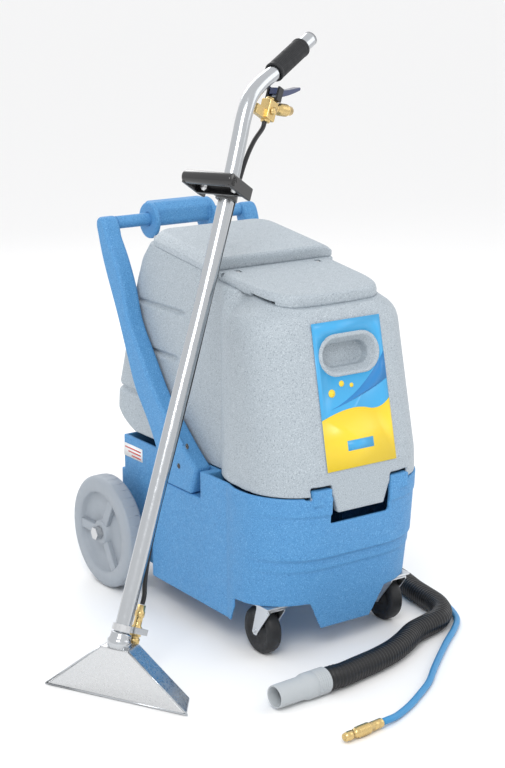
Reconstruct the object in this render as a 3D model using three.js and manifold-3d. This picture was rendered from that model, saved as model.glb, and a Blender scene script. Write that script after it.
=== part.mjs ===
// A wheeled box carpet cleaner: a blue base on two large wheels and two casters, a grey twin tank
// hinged at its front, a handle frame, a floor wand standing beside it, and its two hoses.
// Millimetres, +Z up. The front of the machine faces -Y and its centre plane is x = 0 of the layout.
import * as THREE from "three";
import { mergeVertices } from "three/addons/utils/BufferGeometryUtils.js";
import Module from "manifold-3d";

const wasm = await Module();
wasm.setup();

// ---------------------------------------------------------------- driving dimensions
const ORIGIN = [168.1, 25.7]; // from the machine's centre plane to the middle of the whole footprint
const GAP = 0.3; // between pieces that touch

const WHEEL = { r: 127, width: 46, x: 220, y: 250, bore: 8.4 };
const AXLE_R = 8;
const CASTER = { r: 50, width: 32, x: 157, y: -263, trail: 28, top: 109 };

const WALL = 6; // moulded shells
const BASE = { bottom: 50, skirt: 60, rim: 350, front: -388, half: 208, corner: 138, side: 198 };
const BASE_CREASE_Y = -195; // where the rounded front runs into the flat side
const BASE_TAIL = { half: 160, start: 101, end: 290, top: 336 };
const FLOOR = { top: 122, rearTop: 160 }; // machine floor inside the base

const TANK = { bottom: 352, top: 800, front: -383, half: 197, corner: 116, side: 158 };
const TANK_CREASE_Y = -125;
const TANK_REAR = 333; // at its widest, just above the wheels
const TANK_LEAN = 0.207; // the front face leans back above the bumper line
const LEAN_START = 400;

const REAR_LID = {
  half: 160, front: -74, back: 160, low: 757, slope: 0.132, thick: 27, rod: [148, 12], ear: 125,
};
const FRONT_LID = {
  half: 142, nose: 96, front: -292, back: -82, low: 712, slope: 0.15, thick: 24, rod: [-93, 10.5], ear: 100,
};

const ARM = { inner: 162, outer: 202 };
const BAR = { y: 286, z: 813, r: 14 };
const HINGE = { y: -375, z: 349, r: 4 }; // the tank tips forward about this line

// The wand's tube leaves its head at the foot and leans along its azimuth by its tilt, in degrees.
const WAND = { foot: [-501, -280, 115], azimuth: 22.5, tilt: 25.8, r: 16, wall: 1.5 };
const HEAD = { x: -520, y: -288, azimuth: 28 };
const HOSE_R = 24;
const LINE_R = 7;

// ---------------------------------------------------------------- colours
const paint = (color, roughness = 0.6, metalness = 0) =>
  () => new THREE.MeshStandardMaterial({ color, roughness, metalness });
const blue = paint("#4a8cc4", 0.65);
const grey = paint("#a9b4bb", 0.7);
const wheelGrey = paint("#a3a9ab", 0.7);
const black = paint("#17181a", 0.55);
const rubber = paint("#1c1d1f", 0.85);
const darkBlue = paint("#1d2950", 0.5);
const chrome = paint("#d6d8da", 0.12, 1);
const steel = paint("#b9bcbf", 0.35, 1);
const zinc = paint("#c4c8ca", 0.4, 1);
const brass = paint("#b8924a", 0.35, 1);
const cuffGrey = paint("#9aa0a3", 0.6);
const hoseBlue = paint("#2f7fc1", 0.55);
const labelBlue = paint("#3d9bd6", 0.45);

// ---------------------------------------------------------------- solids and booleans
function toSolid(geometry) {
  const bare = geometry.index ? geometry.toNonIndexed() : geometry.clone();
  bare.deleteAttribute("normal");
  bare.deleteAttribute("uv");
  const merged = mergeVertices(bare, 1e-3);
  const mesh = new wasm.Mesh({
    numProp: 3,
    vertProperties: merged.attributes.position.array,
    triVerts: new Uint32Array(merged.index.array),
  });
  return new wasm.Manifold(mesh);
}

function toGeometry(solid) {
  const mesh = solid.getMesh();
  const geometry = new THREE.BufferGeometry();
  geometry.setAttribute("position", new THREE.BufferAttribute(mesh.vertProperties, 3));
  geometry.setIndex(new THREE.BufferAttribute(mesh.triVerts, 1));
  geometry.computeVertexNormals();
  return geometry;
}

const cut = (body, ...tools) =>
  toGeometry(tools.reduce((rest, tool) => rest.subtract(toSolid(tool)), toSolid(body)));
const join = (body, ...more) =>
  toGeometry(more.reduce((sum, piece) => sum.add(toSolid(piece)), toSolid(body)));
const common = (body, other) => toGeometry(toSolid(body).intersect(toSolid(other)));

const v2 = (x, y) => new THREE.Vector2(x, y);
const v3 = (x, y, z) => new THREE.Vector3(x, y, z);
const polygon = (points) => new THREE.Shape(points.map(([x, y]) => v2(x, y)));
const mirrorX = (geometry) => {
  const flipped = geometry.clone().toNonIndexed().scale(-1, 1, 1);
  const p = flipped.attributes.position;
  for (let i = 0; i < p.count; i += 3) {
    const swap = [p.getX(i), p.getY(i), p.getZ(i)];
    p.setXYZ(i, p.getX(i + 1), p.getY(i + 1), p.getZ(i + 1));
    p.setXYZ(i + 1, ...swap);
  }
  return flipped;
};

function box(x0, x1, y0, y1, z0, z1) {
  const geometry = new THREE.BoxGeometry(x1 - x0, y1 - y0, z1 - z0);
  return geometry.translate((x0 + x1) / 2, (y0 + y1) / 2, (z0 + z1) / 2);
}

// A prism of a (y, z) outline along X, of an (x, z) outline along Y, or of a plan outline along Z.
const extruded = (shape, depth, options = {}) =>
  new THREE.ExtrudeGeometry(shape, { depth, bevelEnabled: false, curveSegments: 4, ...options });
const X = v3(1, 0, 0);
const Y = v3(0, 1, 0);
const Z = v3(0, 0, 1);
const alongX = (shape, x0, x1, options) =>
  extruded(shape, x1 - x0, options)
    .applyMatrix4(new THREE.Matrix4().makeBasis(Y, Z, X))
    .translate(x0, 0, 0);
const alongY = (shape, y0, y1, options) =>
  extruded(shape, y1 - y0, options)
    .applyMatrix4(new THREE.Matrix4().makeBasis(X, Z, Y.clone().negate()))
    .translate(0, y1, 0);
const alongZ = (shape, z0, z1, options) => extruded(shape, z1 - z0, options).translate(0, 0, z0);

// Cylinders along the three axes, and a turned profile of [radius, height] points along Z.
const rodZ = (r, z0, z1, sides = 20) =>
  new THREE.CylinderGeometry(r, r, z1 - z0, sides).rotateX(Math.PI / 2).translate(0, 0, (z0 + z1) / 2);
const rodX = (r, x0, x1, sides = 20) => rodZ(r, x0, x1, sides).rotateY(Math.PI / 2);
const rodY = (r, y0, y1, sides = 20) => rodZ(r, -y1, -y0, sides).rotateX(Math.PI / 2);
function turned(profile, sides = 24) {
  const points = profile.map(([r, h]) => v2(r, h));
  if (THREE.ShapeUtils.area(points) < 0) points.reverse();
  return new THREE.LatheGeometry(points, sides).rotateX(Math.PI / 2);
}

// A round tube through a list of points, with straight or smooth runs between them.
function tube(points, r, steps, sides = 12) {
  const path = new THREE.CatmullRomCurve3(points.map((p) => v3(...p)), false, "centripetal");
  const section = new THREE.Shape();
  for (let i = 0; i < sides; i++) {
    const turn = (i / sides) * 2 * Math.PI;
    section[i ? "lineTo" : "moveTo"](r * Math.cos(turn), r * Math.sin(turn));
  }
  return new THREE.ExtrudeGeometry(section, { steps, extrudePath: path, bevelEnabled: false });
}

// A value read off a list of [position, value] stations, straight between them.
function between(stations, at) {
  const last = stations.length - 1;
  if (at <= stations[0][0]) return stations[0][1];
  if (at >= stations[last][0]) return stations[last][1];
  const i = stations.findIndex(([place]) => place > at);
  const [p0, w0] = stations[i - 1];
  const [p1, w1] = stations[i];
  return w0 + ((w1 - w0) * (at - p0)) / (p1 - p0);
}

function warped(geometry, place) {
  const p = geometry.attributes.position;
  for (let i = 0; i < p.count; i++) p.setXYZ(i, ...place(p.getX(i), p.getY(i), p.getZ(i)));
  return geometry;
}

// ---------------------------------------------------------------- scene graph
const root = new THREE.Group();
const layout = new THREE.Group();
layout.position.set(ORIGIN[0], ORIGIN[1], 0);
root.add(layout);

function add(parent, name, geometry, material) {
  const mesh = new THREE.Mesh(geometry, material());
  mesh.name = name;
  parent.add(mesh);
  return mesh;
}
const SIDES = [
  ["left", -1],
  ["right", 1],
];

// ---------------------------------------------------------------- base
// Plan outline with a rounded front that runs into a flat side at a crease, inset by the wall.
function frontedPlan(front, half, corner, creaseY, side, inset) {
  const plan = new THREE.Shape();
  const f = front + inset;
  const w = half - inset;
  const r = corner - inset;
  const s = side - inset;
  plan.moveTo(-s, creaseY);
  plan.quadraticCurveTo(-w, creaseY - 30, -w, Math.min(creaseY - 45, f + r + 20));
  plan.lineTo(-w, f + r);
  plan.absarc(-w + r, f + r, r, Math.PI, 1.5 * Math.PI);
  plan.absarc(w - r, f + r, r, -0.5 * Math.PI, 0);
  plan.lineTo(w, Math.min(creaseY - 45, f + r + 20));
  plan.quadraticCurveTo(w, creaseY - 30, s, creaseY);
  return plan;
}

function basePlan(inset) {
  const { front, half, corner, side } = BASE;
  const plan = frontedPlan(front, half, corner, BASE_CREASE_Y, side, inset);
  plan.lineTo(side - inset, BASE_TAIL.start - inset);
  plan.lineTo(BASE_TAIL.half - inset, BASE_TAIL.start - inset);
  plan.lineTo(BASE_TAIL.half - inset, BASE_TAIL.end - inset);
  plan.lineTo(-BASE_TAIL.half + inset, BASE_TAIL.end - inset);
  plan.lineTo(-BASE_TAIL.half + inset, BASE_TAIL.start - inset);
  plan.lineTo(-side + inset, BASE_TAIL.start - inset);
  return plan;
}

// The base narrows towards the floor, in two shallow steps across its front.
const BASE_FRONT = [
  [50, -333],
  [120, -345],
  [188, -357],
  [192, -361],
  [213, -364],
  [219, -373],
  [350, -388],
];
function baseLoft(inset, z0, z1) {
  const levels = [z0, 120, 188, 192, 213, 219, z1].filter((z) => z >= z0 && z <= z1);
  const loft = alongZ(basePlan(inset), 0, levels.length - 1, { steps: levels.length - 1 });
  return warped(loft, (x, y, level) => {
    const z = levels[Math.round(level)];
    if (y > BASE_CREASE_Y) return [x, y, z];
    const reach = (between(BASE_FRONT, z) - BASE_CREASE_Y) / (BASE.front - BASE_CREASE_Y);
    const blend = Math.min((BASE_CREASE_Y - y) / 60, 1);
    const narrowing = 1 - 0.04 * (1 - z / BASE.rim) * blend;
    return [x * narrowing, BASE_CREASE_Y + (y - BASE_CREASE_Y) * reach, z];
  });
}

const POD = { inner: 152, front: -118, roof: 284, pocketFloor: 291 };

function baseShell() {
  const outer = baseLoft(0, BASE.bottom, BASE.rim);
  const inside = cut(
    baseLoft(WALL, FLOOR.top, BASE.rim + 10),
    box(-300, -POD.inner, POD.front, 400, 0, 400),
    box(POD.inner, 300, POD.front, 400, 0, 400),
    box(-300, 300, 92, 400, 0, FLOOR.rearTop),
    box(-300, 300, 272, 400, 249, 400)
  );
  const under = common(
    baseLoft(WALL, 20, BASE.rim - WALL),
    alongX(
      polygon([
        [-400, 0], [400, 0], [400, FLOOR.rearTop - 8], [100, FLOOR.rearTop - 8], [100, 114], [-400, 114],
      ]),
      -300,
      300
    )
  );
  const pods = SIDES.map(([, s]) => {
    const x0 = POD.inner + WALL;
    const pod = box(x0, BASE.side - WALL, -188, BASE_TAIL.start - WALL, 0, POD.roof);
    return s > 0 ? pod : mirrorX(pod);
  });
  const skirtCut = SIDES.map(([, s]) => {
    const fromFront = alongY(polygon([[62, 20], [62, 49], [95, 114], [240, 114], [240, 20]]), -420, -226);
    const outline = polygon([[-209, 20], [-209, 60], [-235, 114], [-420, 114], [-420, 20]]);
    const fromSide = alongX(outline, 130, 240);
    const both = join(fromFront, fromSide);
    return s > 0 ? both : mirrorX(both);
  });
  const sideSkirt = box(-300, 300, -230, 400, 0, BASE.skirt);
  const armPockets = SIDES.map(([, s]) => {
    const pocket = box(ARM.inner - 1, 260, -96, 108, POD.pocketFloor, 400);
    return s > 0 ? pocket : mirrorX(pocket);
  });
  const tail = box(-200, 200, BASE_TAIL.start - 2, 400, BASE_TAIL.top, 400);
  const tailStep = box(-200, 200, 278, 400, 255, 400);
  const tabWay = box(-72, 72, -420, -366, 290, 400);
  const axleHole = rodX(AXLE_R + GAP, -180, 180, 20).translate(0, WHEEL.y, WHEEL.r);
  const frontRim = box(-130, 130, -420, -366, 346, 400);
  const pinHoles = rodX(HINGE.r + GAP, -140, 140, 12).translate(0, HINGE.y, HINGE.z);
  const studHoles = SCREWS.map(([y, z]) => rodX(4 + GAP, -170, 170, 12).translate(0, y, z));
  const shell = cut(
    outer, inside, under, ...pods, ...skirtCut, sideSkirt, ...armPockets, tail, tailStep, tabWay, frontRim
  );
  return cut(join(shell, ...SIDES.map(([, s]) => hingeLug(s))), axleHole, pinHoles, ...studHoles);
}

// Two lugs flank the tank's front tab and carry its hinge pins.
function hingeLug(s) {
  const lug = box(74, 118, -386, -366, 334, 365);
  return s > 0 ? lug : mirrorX(lug);
}

// ---------------------------------------------------------------- tank
function tankPlan(inset) {
  const { front, half, corner, side } = TANK;
  const plan = frontedPlan(front, half, corner, TANK_CREASE_Y, side, inset);
  const s = side - inset;
  const back = TANK_REAR - inset;
  const r = 48 - inset;
  plan.lineTo(s, back - r);
  plan.absarc(s - r, back - r, r, 0, 0.5 * Math.PI);
  plan.absarc(-s + r, back - r, r, 0.5 * Math.PI, Math.PI);
  return plan;
}

const REAR_FACE = [
  [352, 262],
  [366, 300],
  [392, 333],
  [440, 328],
  [505, 304],
  [553, 288],
  [655, 248],
  [700, 231],
  [750, 206],
  [775, 182],
  [800, 160],
];
const SHOULDER = [
  [665, 0],
  [682, 5],
  [694, 14],
  [704, 28],
  [716, 44],
  [740, 60],
];
const TANK_LEVELS = [352, 366, 392, 440, 553, 655, 686, 704, 722, 750, 800];

const ROOM_LEVELS = [392, 553, 655, 690];
function tankLoft(inset, z0, z1, stations = TANK_LEVELS) {
  const levels = [z0, ...stations.filter((z) => z > z0 + 4 && z < z1 - 4), z1];
  const loft = alongZ(tankPlan(inset), 0, levels.length - 1, { steps: levels.length - 1 });
  return warped(loft, (x, y, level) => {
    const z = levels[Math.round(level)];
    if (y > TANK_CREASE_Y) {
      const span = (between(REAR_FACE, z) - TANK_CREASE_Y) / (TANK_REAR - TANK_CREASE_Y);
      return [x, TANK_CREASE_Y + (y - TANK_CREASE_Y) * span, z];
    }
    const leaning = TANK_LEAN * Math.max(z - LEAN_START, 0) + 0.3 * between(SHOULDER, z);
    const depth = (TANK_CREASE_Y - TANK.front - leaning) / (TANK_CREASE_Y - TANK.front);
    const blend = Math.min((TANK_CREASE_Y - y) / 60, 1);
    const pull = (0.047 * (z - TANK.bottom) + between(SHOULDER, z)) * blend;
    return [x * (1 - pull / TANK.half), TANK_CREASE_Y + (y - TANK_CREASE_Y) * depth, z];
  });
}

// A lid is made level and then laid at the slope of its seat on the tank.
const onSeat = (geometry, lid) =>
  geometry.translate(0, -lid.front, 0).rotateX(Math.atan(lid.slope)).translate(0, lid.front, lid.low);
const rearSeat = (y) => REAR_LID.low + REAR_LID.slope * (y - REAR_LID.front);
const frontSeat = (y) => FRONT_LID.low + FRONT_LID.slope * (y - FRONT_LID.front);

function tankShell() {
  const aboveSeats = alongX(
    polygon([
      [-420, frontSeat(-420) - GAP],
      [-78, frontSeat(-78) - GAP],
      [-78, rearSeat(-78) - GAP],
      [166, rearSeat(166) - GAP],
      [420, rearSeat(166) - 60],
      [420, 900],
      [-420, 900],
    ]),
    -300,
    300
  );
  const room = tankLoft(WALL, TANK.bottom + 8, 702, ROOM_LEVELS);
  const recovery = common(room, box(-300, 300, -60, 400, 0, 800));
  const solution = common(room, box(-300, 300, -400, -68, 0, 800));
  const rearMouth = box(-118, 118, -48, 128, 680, 900);
  const frontMouth = box(-88, 88, -258, -100, 680, 900);
  const grooves = [
    [443, 60],
    [553, 47],
    [655, 15],
  ].map(([z, from]) =>
    cut(box(-220, 220, from, 420, z - 3, z + 3), tankLoft(5, TANK.bottom, 790, ROOM_LEVELS))
  );
  const grip = common(
    gripPocket(68, 36),
    box(-90, 90, -420, -300, 500, 700)
  );
  const tab = alongY(
    polygon([[-71, 380], [-71, 352], [-57, 311], [57, 311], [71, 352], [71, 380]]),
    -383,
    -367
  );
  const pinBore = rodX(HINGE.r + GAP, -140, 140, 12).translate(0, HINGE.y, HINGE.z);
  const lugRoom = SIDES.map(([, s]) => {
    const room = box(72.5, 120, -400, -353, 340, 371);
    return s > 0 ? room : mirrorX(room);
  });
  const hollow = cut(
    tankLoft(0, TANK.bottom, TANK.top),
    aboveSeats, recovery, solution, rearMouth, frontMouth, ...grooves, grip, ...lugRoom
  );
  const ears = [REAR_LID, FRONT_LID].flatMap((lid) => SIDES.map(([, s]) => lidEar(lid, s)));
  return cut(join(hollow, tab, gripWall(), ...ears), pinBore);
}

// The hand hold in the front face: an oval pocket, square to the leaning face.
const GRIP = { z: 618, y: -338, depth: 34 };
function oval(halfWidth, halfHeight) {
  const shape = new THREE.Shape();
  const run = halfWidth - halfHeight;
  shape.absarc(run, 0, halfHeight, -0.5 * Math.PI, 0.5 * Math.PI);
  shape.absarc(-run, 0, halfHeight, 0.5 * Math.PI, 1.5 * Math.PI);
  return shape;
}
const onFront = (geometry) =>
  geometry.rotateX(-Math.atan(TANK_LEAN)).translate(0, GRIP.y, GRIP.z);
const gripPocket = (w, h) => onFront(alongY(oval(w, h), -30, GRIP.depth));
function gripWall() {
  const outer = onFront(alongY(oval(74, 42), 3, GRIP.depth + WALL));
  return cut(outer, gripPocket(68, 36));
}

// ---------------------------------------------------------------- lids
const LID_ROD_R = 4;
// An ear that stands on the tank and holds one end of a lid's hinge rod.
function lidEar(lid, s) {
  const [along, up] = lid.rod;
  const ear = box(s * lid.ear - 5, s * lid.ear + 5, along - 5, along + 5, -5, up + 6);
  return onSeat(cut(ear, rodX(LID_ROD_R + GAP, -200, 200, 12).translate(0, along, up)), lid);
}
// The notches for the ears, the bore for the rod, and the chamfer that lets the lid swing.
function lidHingeCuts(lid) {
  const [along, up] = lid.rod;
  const reach = lid.back - along;
  const notches = SIDES.map(([, s]) => {
    return box(s * lid.ear - 5.6, s * lid.ear + 5.6, along - 11, along + 30, -20, up + 8);
  });
  const bore = rodX(LID_ROD_R + GAP, -200, 200, 12).translate(0, along, up);
  const chamfer = alongX(
    polygon([[along, -20], [lid.back + 20, -20], [lid.back + 20, up + 20], [along + reach, up], [along, -0.2]]),
    -200,
    200
  );
  return [...notches, bore, chamfer];
}
const lidRod = (lid, half) =>
  onSeat(rodX(LID_ROD_R, -half, half, 12).translate(0, ...lid.rod), lid);

// The lid's edge is rounded over its top: the outline steps in above the straight rim.
function lidSlab(plan, thick, place) {
  return warped(alongZ(plan, 0, thick, { steps: 2 }), (x, y, z) => {
    const rim = Math.abs(z - thick / 2) < 0.1;
    return place(x, y, rim ? thick * 0.72 : z, z > thick * 0.9 ? 0.955 : 1);
  });
}
function rearLid() {
  const plan = new THREE.Shape();
  const { half, front, back, thick } = REAR_LID;
  const r = 38;
  plan.moveTo(-half + 8, front);
  plan.lineTo(half - 8, front);
  plan.lineTo(half, front + 10);
  plan.lineTo(half, back - r);
  plan.absarc(half - r, back - r, r, 0, 0.5 * Math.PI);
  plan.absarc(-half + r, back - r, r, 0.5 * Math.PI, Math.PI);
  plan.lineTo(-half, front + 10);
  const middle = (front + back) / 2;
  const lid = lidSlab(plan, thick, (x, y, z, k) => [x * k, middle + (y - middle) * k, z]);
  const under = warped(alongZ(plan, -2, 7), (x, y, z) => [x * 0.95, middle - 6 + (y - middle) * 0.85, z]);
  const plug = box(-112, 112, -42, 122, -14, 7.2);
  return onSeat(cut(join(cut(lid, under), plug), ...lidHingeCuts(REAR_LID)), REAR_LID);
}
function frontLid() {
  const plan = new THREE.Shape();
  const { half, nose, front, back, thick } = FRONT_LID;
  plan.moveTo(-half, back);
  plan.lineTo(-half + 6, front + 78);
  plan.quadraticCurveTo(-half + 12, front + 14, -nose, front);
  plan.quadraticCurveTo(0, front - 14, nose, front);
  plan.quadraticCurveTo(half - 12, front + 14, half - 6, front + 78);
  plan.lineTo(half, back);
  const middle = (front + back) / 2;
  const lid = lidSlab(plan, thick, (x, y, z, k) => {
    const fade = 1 - 0.3 * ((y - front) / (back - front));
    return [x * k, y > back - 1 ? y : middle + (y - middle) * k, z * fade];
  });
  const under = warped(alongZ(plan, -2, 6), (x, y, z) => [x * 0.95, middle - 6 + (y - middle) * 0.85, z]);
  const plug = box(-82, 82, -252, -108, -14, 6.2);
  return onSeat(cut(join(cut(lid, under), plug), ...lidHingeCuts(FRONT_LID)), FRONT_LID);
}

// ---------------------------------------------------------------- handle frame
function armProfile() {
  const shape = new THREE.Shape();
  shape.moveTo(-66, 292);
  shape.lineTo(-88, 352);
  shape.splineThru([
    [-50, 378], [14, 430], [66, 474], [126, 552], [172, 616], [198, 690], [226, 744], [256, 788],
  ].map(([y, z]) => v2(y, z)));
  shape.quadraticCurveTo(266, 829, 284, 829);
  shape.quadraticCurveTo(306, 829, 303, 806);
  shape.splineThru([
    [278, 735], [224, 626], [188, 546], [155, 476], [104, 410], [66, 350], [40, 292],
  ].map(([y, z]) => v2(y, z)));
  shape.closePath();
  return shape;
}
function handleArm(s) {
  const round = 9;
  const made = alongX(armProfile(), ARM.inner + round, ARM.outer - round, {
    curveSegments: 3,
    bevelEnabled: true,
    bevelThickness: round,
    bevelSize: round,
    bevelOffset: -round,
    bevelSegments: 1,
  });
  const studs = SCREWS.map(([y, z]) => rodX(4.6, 150, 230, 12).translate(0, y, z));
  const arm = cut(made, ...studs);
  return s > 0 ? arm : mirrorX(arm);
}

// Each arm is held by two studs that stand on a plate inside the base wall.
const SCREWS = [
  [-40, 334],
  [-6, 312],
];
function armStuds(s) {
  const plate = box(147.5, 151.5, -60, 14, 298, 346);
  const studs = SCREWS.map(([y, z]) => rodX(4, 150, 198, 12).translate(0, y, z));
  const made = join(plate, ...studs);
  return s > 0 ? made : mirrorX(made);
}

// The handle block on the bar: a housing between two round end flanges, with the switches behind.
const BLOCK = { half: 70, flange: 80, front: 262, back: 322, low: 797, top: 850 };
const SWITCH = { width: 22, z: 824, places: [-30, 30] };
function controlHousing() {
  const { half, flange, front, back, low, top } = BLOCK;
  const outline = polygon([
    [front + 8, low], [back, low], [back, top - 8], [back - 12, top],
    [front + 16, top], [front, top - 14], [front, low + 8],
  ]);
  const ends = SIDES.map(([, s]) => {
    const disc = rodX(40, half - 1, flange, 24).translate(0, BAR.y, BAR.z - 3);
    return s > 0 ? disc : mirrorX(disc);
  });
  const pockets = SWITCH.places.map((x) =>
    box(x - SWITCH.width / 2 - 1, x + SWITCH.width / 2 + 1, back - 12, back + 5, SWITCH.z - 16, SWITCH.z + 16)
  );
  const bar = rodX(BAR.r + GAP, -100, 100, 16).translate(0, BAR.y, BAR.z);
  return cut(join(alongX(outline, -half, half), ...ends), bar, ...pockets);
}
const rocker = (x) =>
  alongX(
    polygon([
      [BLOCK.back - 8, SWITCH.z - 14], [BLOCK.back + 3, SWITCH.z - 14], [BLOCK.back, SWITCH.z],
      [BLOCK.back + 3, SWITCH.z + 14], [BLOCK.back - 8, SWITCH.z + 14],
    ]),
    x - SWITCH.width / 2,
    x + SWITCH.width / 2
  );

// ---------------------------------------------------------------- wheels and casters
function rearWheel(s) {
  const { r, width, bore } = WHEEL;
  const h = width / 2;
  const profile = [
    [bore, -h - 1], [bore, h + 1], [26, h + 1], [30, 8], [86, 8], [92, h], [r - 3, h], [r, h - 8],
    [r, 8 - h], [r - 3, -h], [92, -h], [86, -8], [30, -8], [26, -h - 1], [bore, -h - 1],
  ];
  const spokes = [0, 1, 2].map((i) =>
    box(6, h - 4, -11, 11, 22, 92).rotateX((i / 3) * 2 * Math.PI + 0.5)
  );
  const wheel = join(turned(profile, 24).rotateY(Math.PI / 2), ...spokes);
  return s > 0 ? wheel : mirrorX(wheel);
}
const wheelNut = () =>
  cut(rodX(15, 0, 14, 6), rodX(AXLE_R + GAP, -2, 8.8, 16)).translate(WHEEL.x + WHEEL.width / 2 + 1.4, 0, 0);

function casterWheel() {
  const { r, width } = CASTER;
  const h = width / 2;
  const profile = [
    [4.4, -h], [4.4, h], [14, h], [18, h - 5], [30, h - 5], [34, h - 1], [r - 3, h - 2], [r, h - 9],
    [r, 9 - h], [r - 3, 2 - h], [34, 1 - h], [30, 5 - h], [18, 5 - h], [14, -h], [4.4, -h],
  ];
  return turned(profile, 16).rotateY(Math.PI / 2);
}
function casterFork() {
  const { top, trail, r, width } = CASTER;
  const leg = width / 2 + 1.5;
  const outline = polygon([
    [-trail - 22, top - 3], [-trail + 22, top - 3], [-trail + 22, top - 9], [9, r - 2], [5, r - 9],
    [-5, r - 9], [-9, r - 2], [-trail - 22, top - 9],
  ]);
  const cheeks = [
    alongX(outline, leg, leg + 2.5),
    alongX(outline, -leg - 2.5, -leg),
    box(-leg - 2, leg + 2, -trail - 22, -trail + 22, top - 6, top - 3),
  ];
  const axle = rodX(4, -leg - 6, leg + 6, 12).translate(0, 0, r);
  const race = rodZ(20, top - 4, top, 16).translate(0, -trail, 0);
  return join(...cheeks, axle, race);
}
const casterPlate = () =>
  box(-26, 26, -CASTER.trail - 26, -CASTER.trail + 26, CASTER.top + GAP, 113.6);

// ---------------------------------------------------------------- inside the machine
function vacuumMotor() {
  const profile = [[0, 0], [62, 0], [62, 46], [48, 50], [46, 92], [20, 98], [0, 98]];
  return turned(profile, 16);
}
function pump() {
  const motor = rodY(34, -30, 60, 20).translate(0, 0, 36);
  const head = box(-36, 36, -78, -29, 2, 74);
  const foot = box(-34, 34, -40, 50, 0, 10);
  return join(motor, head, foot);
}

// ---------------------------------------------------------------- assembly of the machine
const base = new THREE.Group();
layout.add(base);
add(base, "base_shell", baseShell(), blue);
const crossbar = rodX(BAR.r, GAP - ARM.inner, ARM.inner - GAP, 16).translate(0, BAR.y, BAR.z);
add(base, "handle_crossbar", crossbar, blue);
add(base, "control_housing", controlHousing(), blue);
add(base, "pump_switch", rocker(SWITCH.places[0]), black);
add(base, "vacuum_switch", rocker(SWITCH.places[1]), black);
const axleHalf = WHEEL.x + WHEEL.width / 2 + 9;
const axle = rodX(AXLE_R, -axleHalf, axleHalf, 16).translate(0, WHEEL.y, WHEEL.r);
add(base, "rear_axle", axle, steel);
for (const [side, s] of SIDES) {
  add(base, "handle_arm_" + side, handleArm(s), blue);
  add(base, "arm_studs_" + side, armStuds(s), steel);
  add(base, "rear_wheel_" + side, rearWheel(s), wheelGrey).position.set(s * WHEEL.x, WHEEL.y, WHEEL.r);
  const nut = s > 0 ? wheelNut() : mirrorX(wheelNut());
  add(base, "wheel_nut_" + side, nut, steel).position.set(0, WHEEL.y, WHEEL.r);
  const caster = new THREE.Group();
  caster.position.set(s * CASTER.x, CASTER.y, 0);
  base.add(caster);
  add(caster, "caster_plate_" + side, casterPlate(), zinc);
  add(caster, "caster_fork_" + side, casterFork(), zinc);
  add(caster, "caster_wheel_" + side, casterWheel(), rubber).position.z = CASTER.r;
  const pin = rodX(HINGE.r, 64, 122, 12).translate(0, HINGE.y, HINGE.z);
  add(base, "hinge_pin_" + side, s > 0 ? pin : mirrorX(pin), steel);
}
add(base, "vacuum_motor_front", vacuumMotor(), black).position.set(0, -230, FLOOR.top + GAP);
add(base, "vacuum_motor_rear", vacuumMotor(), black).position.set(-60, -60, FLOOR.top + GAP);
add(base, "solution_pump", pump(), black).position.set(85, -20, FLOOR.top + GAP);

// Ports on the tail of the base: the suction spigot, the solution outlet and the mains inlet.
const PORTS = { face: BASE_TAIL.end + GAP, suction: [96, 205], outlet: [30, 200], inlet: [-70, 205] };
const SPIGOT = 40;
const OUTLET = 34;
const onTail = (mesh, [x, z]) => mesh.position.set(x, PORTS.face, z);
const spigot = turned([[20, 0], [34, 0], [34, 4], [24, 4], [24, SPIGOT], [20, SPIGOT], [20, 0]], 16);
onTail(add(base, "suction_port", spigot.rotateX(-Math.PI / 2), black), PORTS.suction);
const outlet = turned([[0, 0], [14, 0], [14, 8], [10, 8], [10, OUTLET], [0, OUTLET]], 12);
onTail(add(base, "solution_outlet", outlet.rotateX(-Math.PI / 2), brass), PORTS.outlet);
const inlet = cut(box(-24, 24, 0, 14, -18, 18), box(-15, 15, 4, 20, -10, 10));
onTail(add(base, "power_inlet", inlet, black), PORTS.inlet);

// ---------------------------------------------------------------- assembly of the tank
const tank = new THREE.Group();
layout.add(tank);
add(tank, "tank_shell", tankShell(), grey);
add(tank, "rear_lid", rearLid(), grey);
add(tank, "front_lid", frontLid(), grey);
add(tank, "rear_lid_rod", lidRod(REAR_LID, 148), steel);
add(tank, "front_lid_rod", lidRod(FRONT_LID, 128), steel);

// The label plate lies on the leaning front face, with a window for the hand hold.
const labelPlate = onFront(alongY(polygon([[-86, -224], [86, -224], [84, 68], [-84, 68]]), -2.1, -0.9));
add(tank, "front_label", cut(labelPlate, gripPocket(70, 38)), labelBlue);

// Inside the tanks: the suction standpipe with its float cage, and the solution pick-up filter.
const TANK_FLOOR = TANK.bottom + 8 + GAP;
const standpipe = turned([[20, 0], [24, 0], [24, 270], [36, 280], [36, 330], [20, 330], [20, 0]], 14);
add(tank, "float_standpipe", standpipe, black).position.set(0, 40, TANK_FLOOR);
const pickup = turned([[0, 0], [24, 0], [24, 34], [7, 40], [7, 260], [0, 260]], 12);
add(tank, "pickup_filter", pickup, black).position.set(-70, -180, TANK_FLOOR);

// The drain valve on the rear of the recovery tank, with its lever.
const drain = join(
  rodY(19, 0, 8, 14), rodY(13, 6, 36, 14), rodZ(8, -4, 22, 12).translate(0, 22, 0), box(-5, 5, 8, 42, 20, 25)
);
add(tank, "drain_valve", drain, black).position.set(-84, 333.6, 412);

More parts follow.
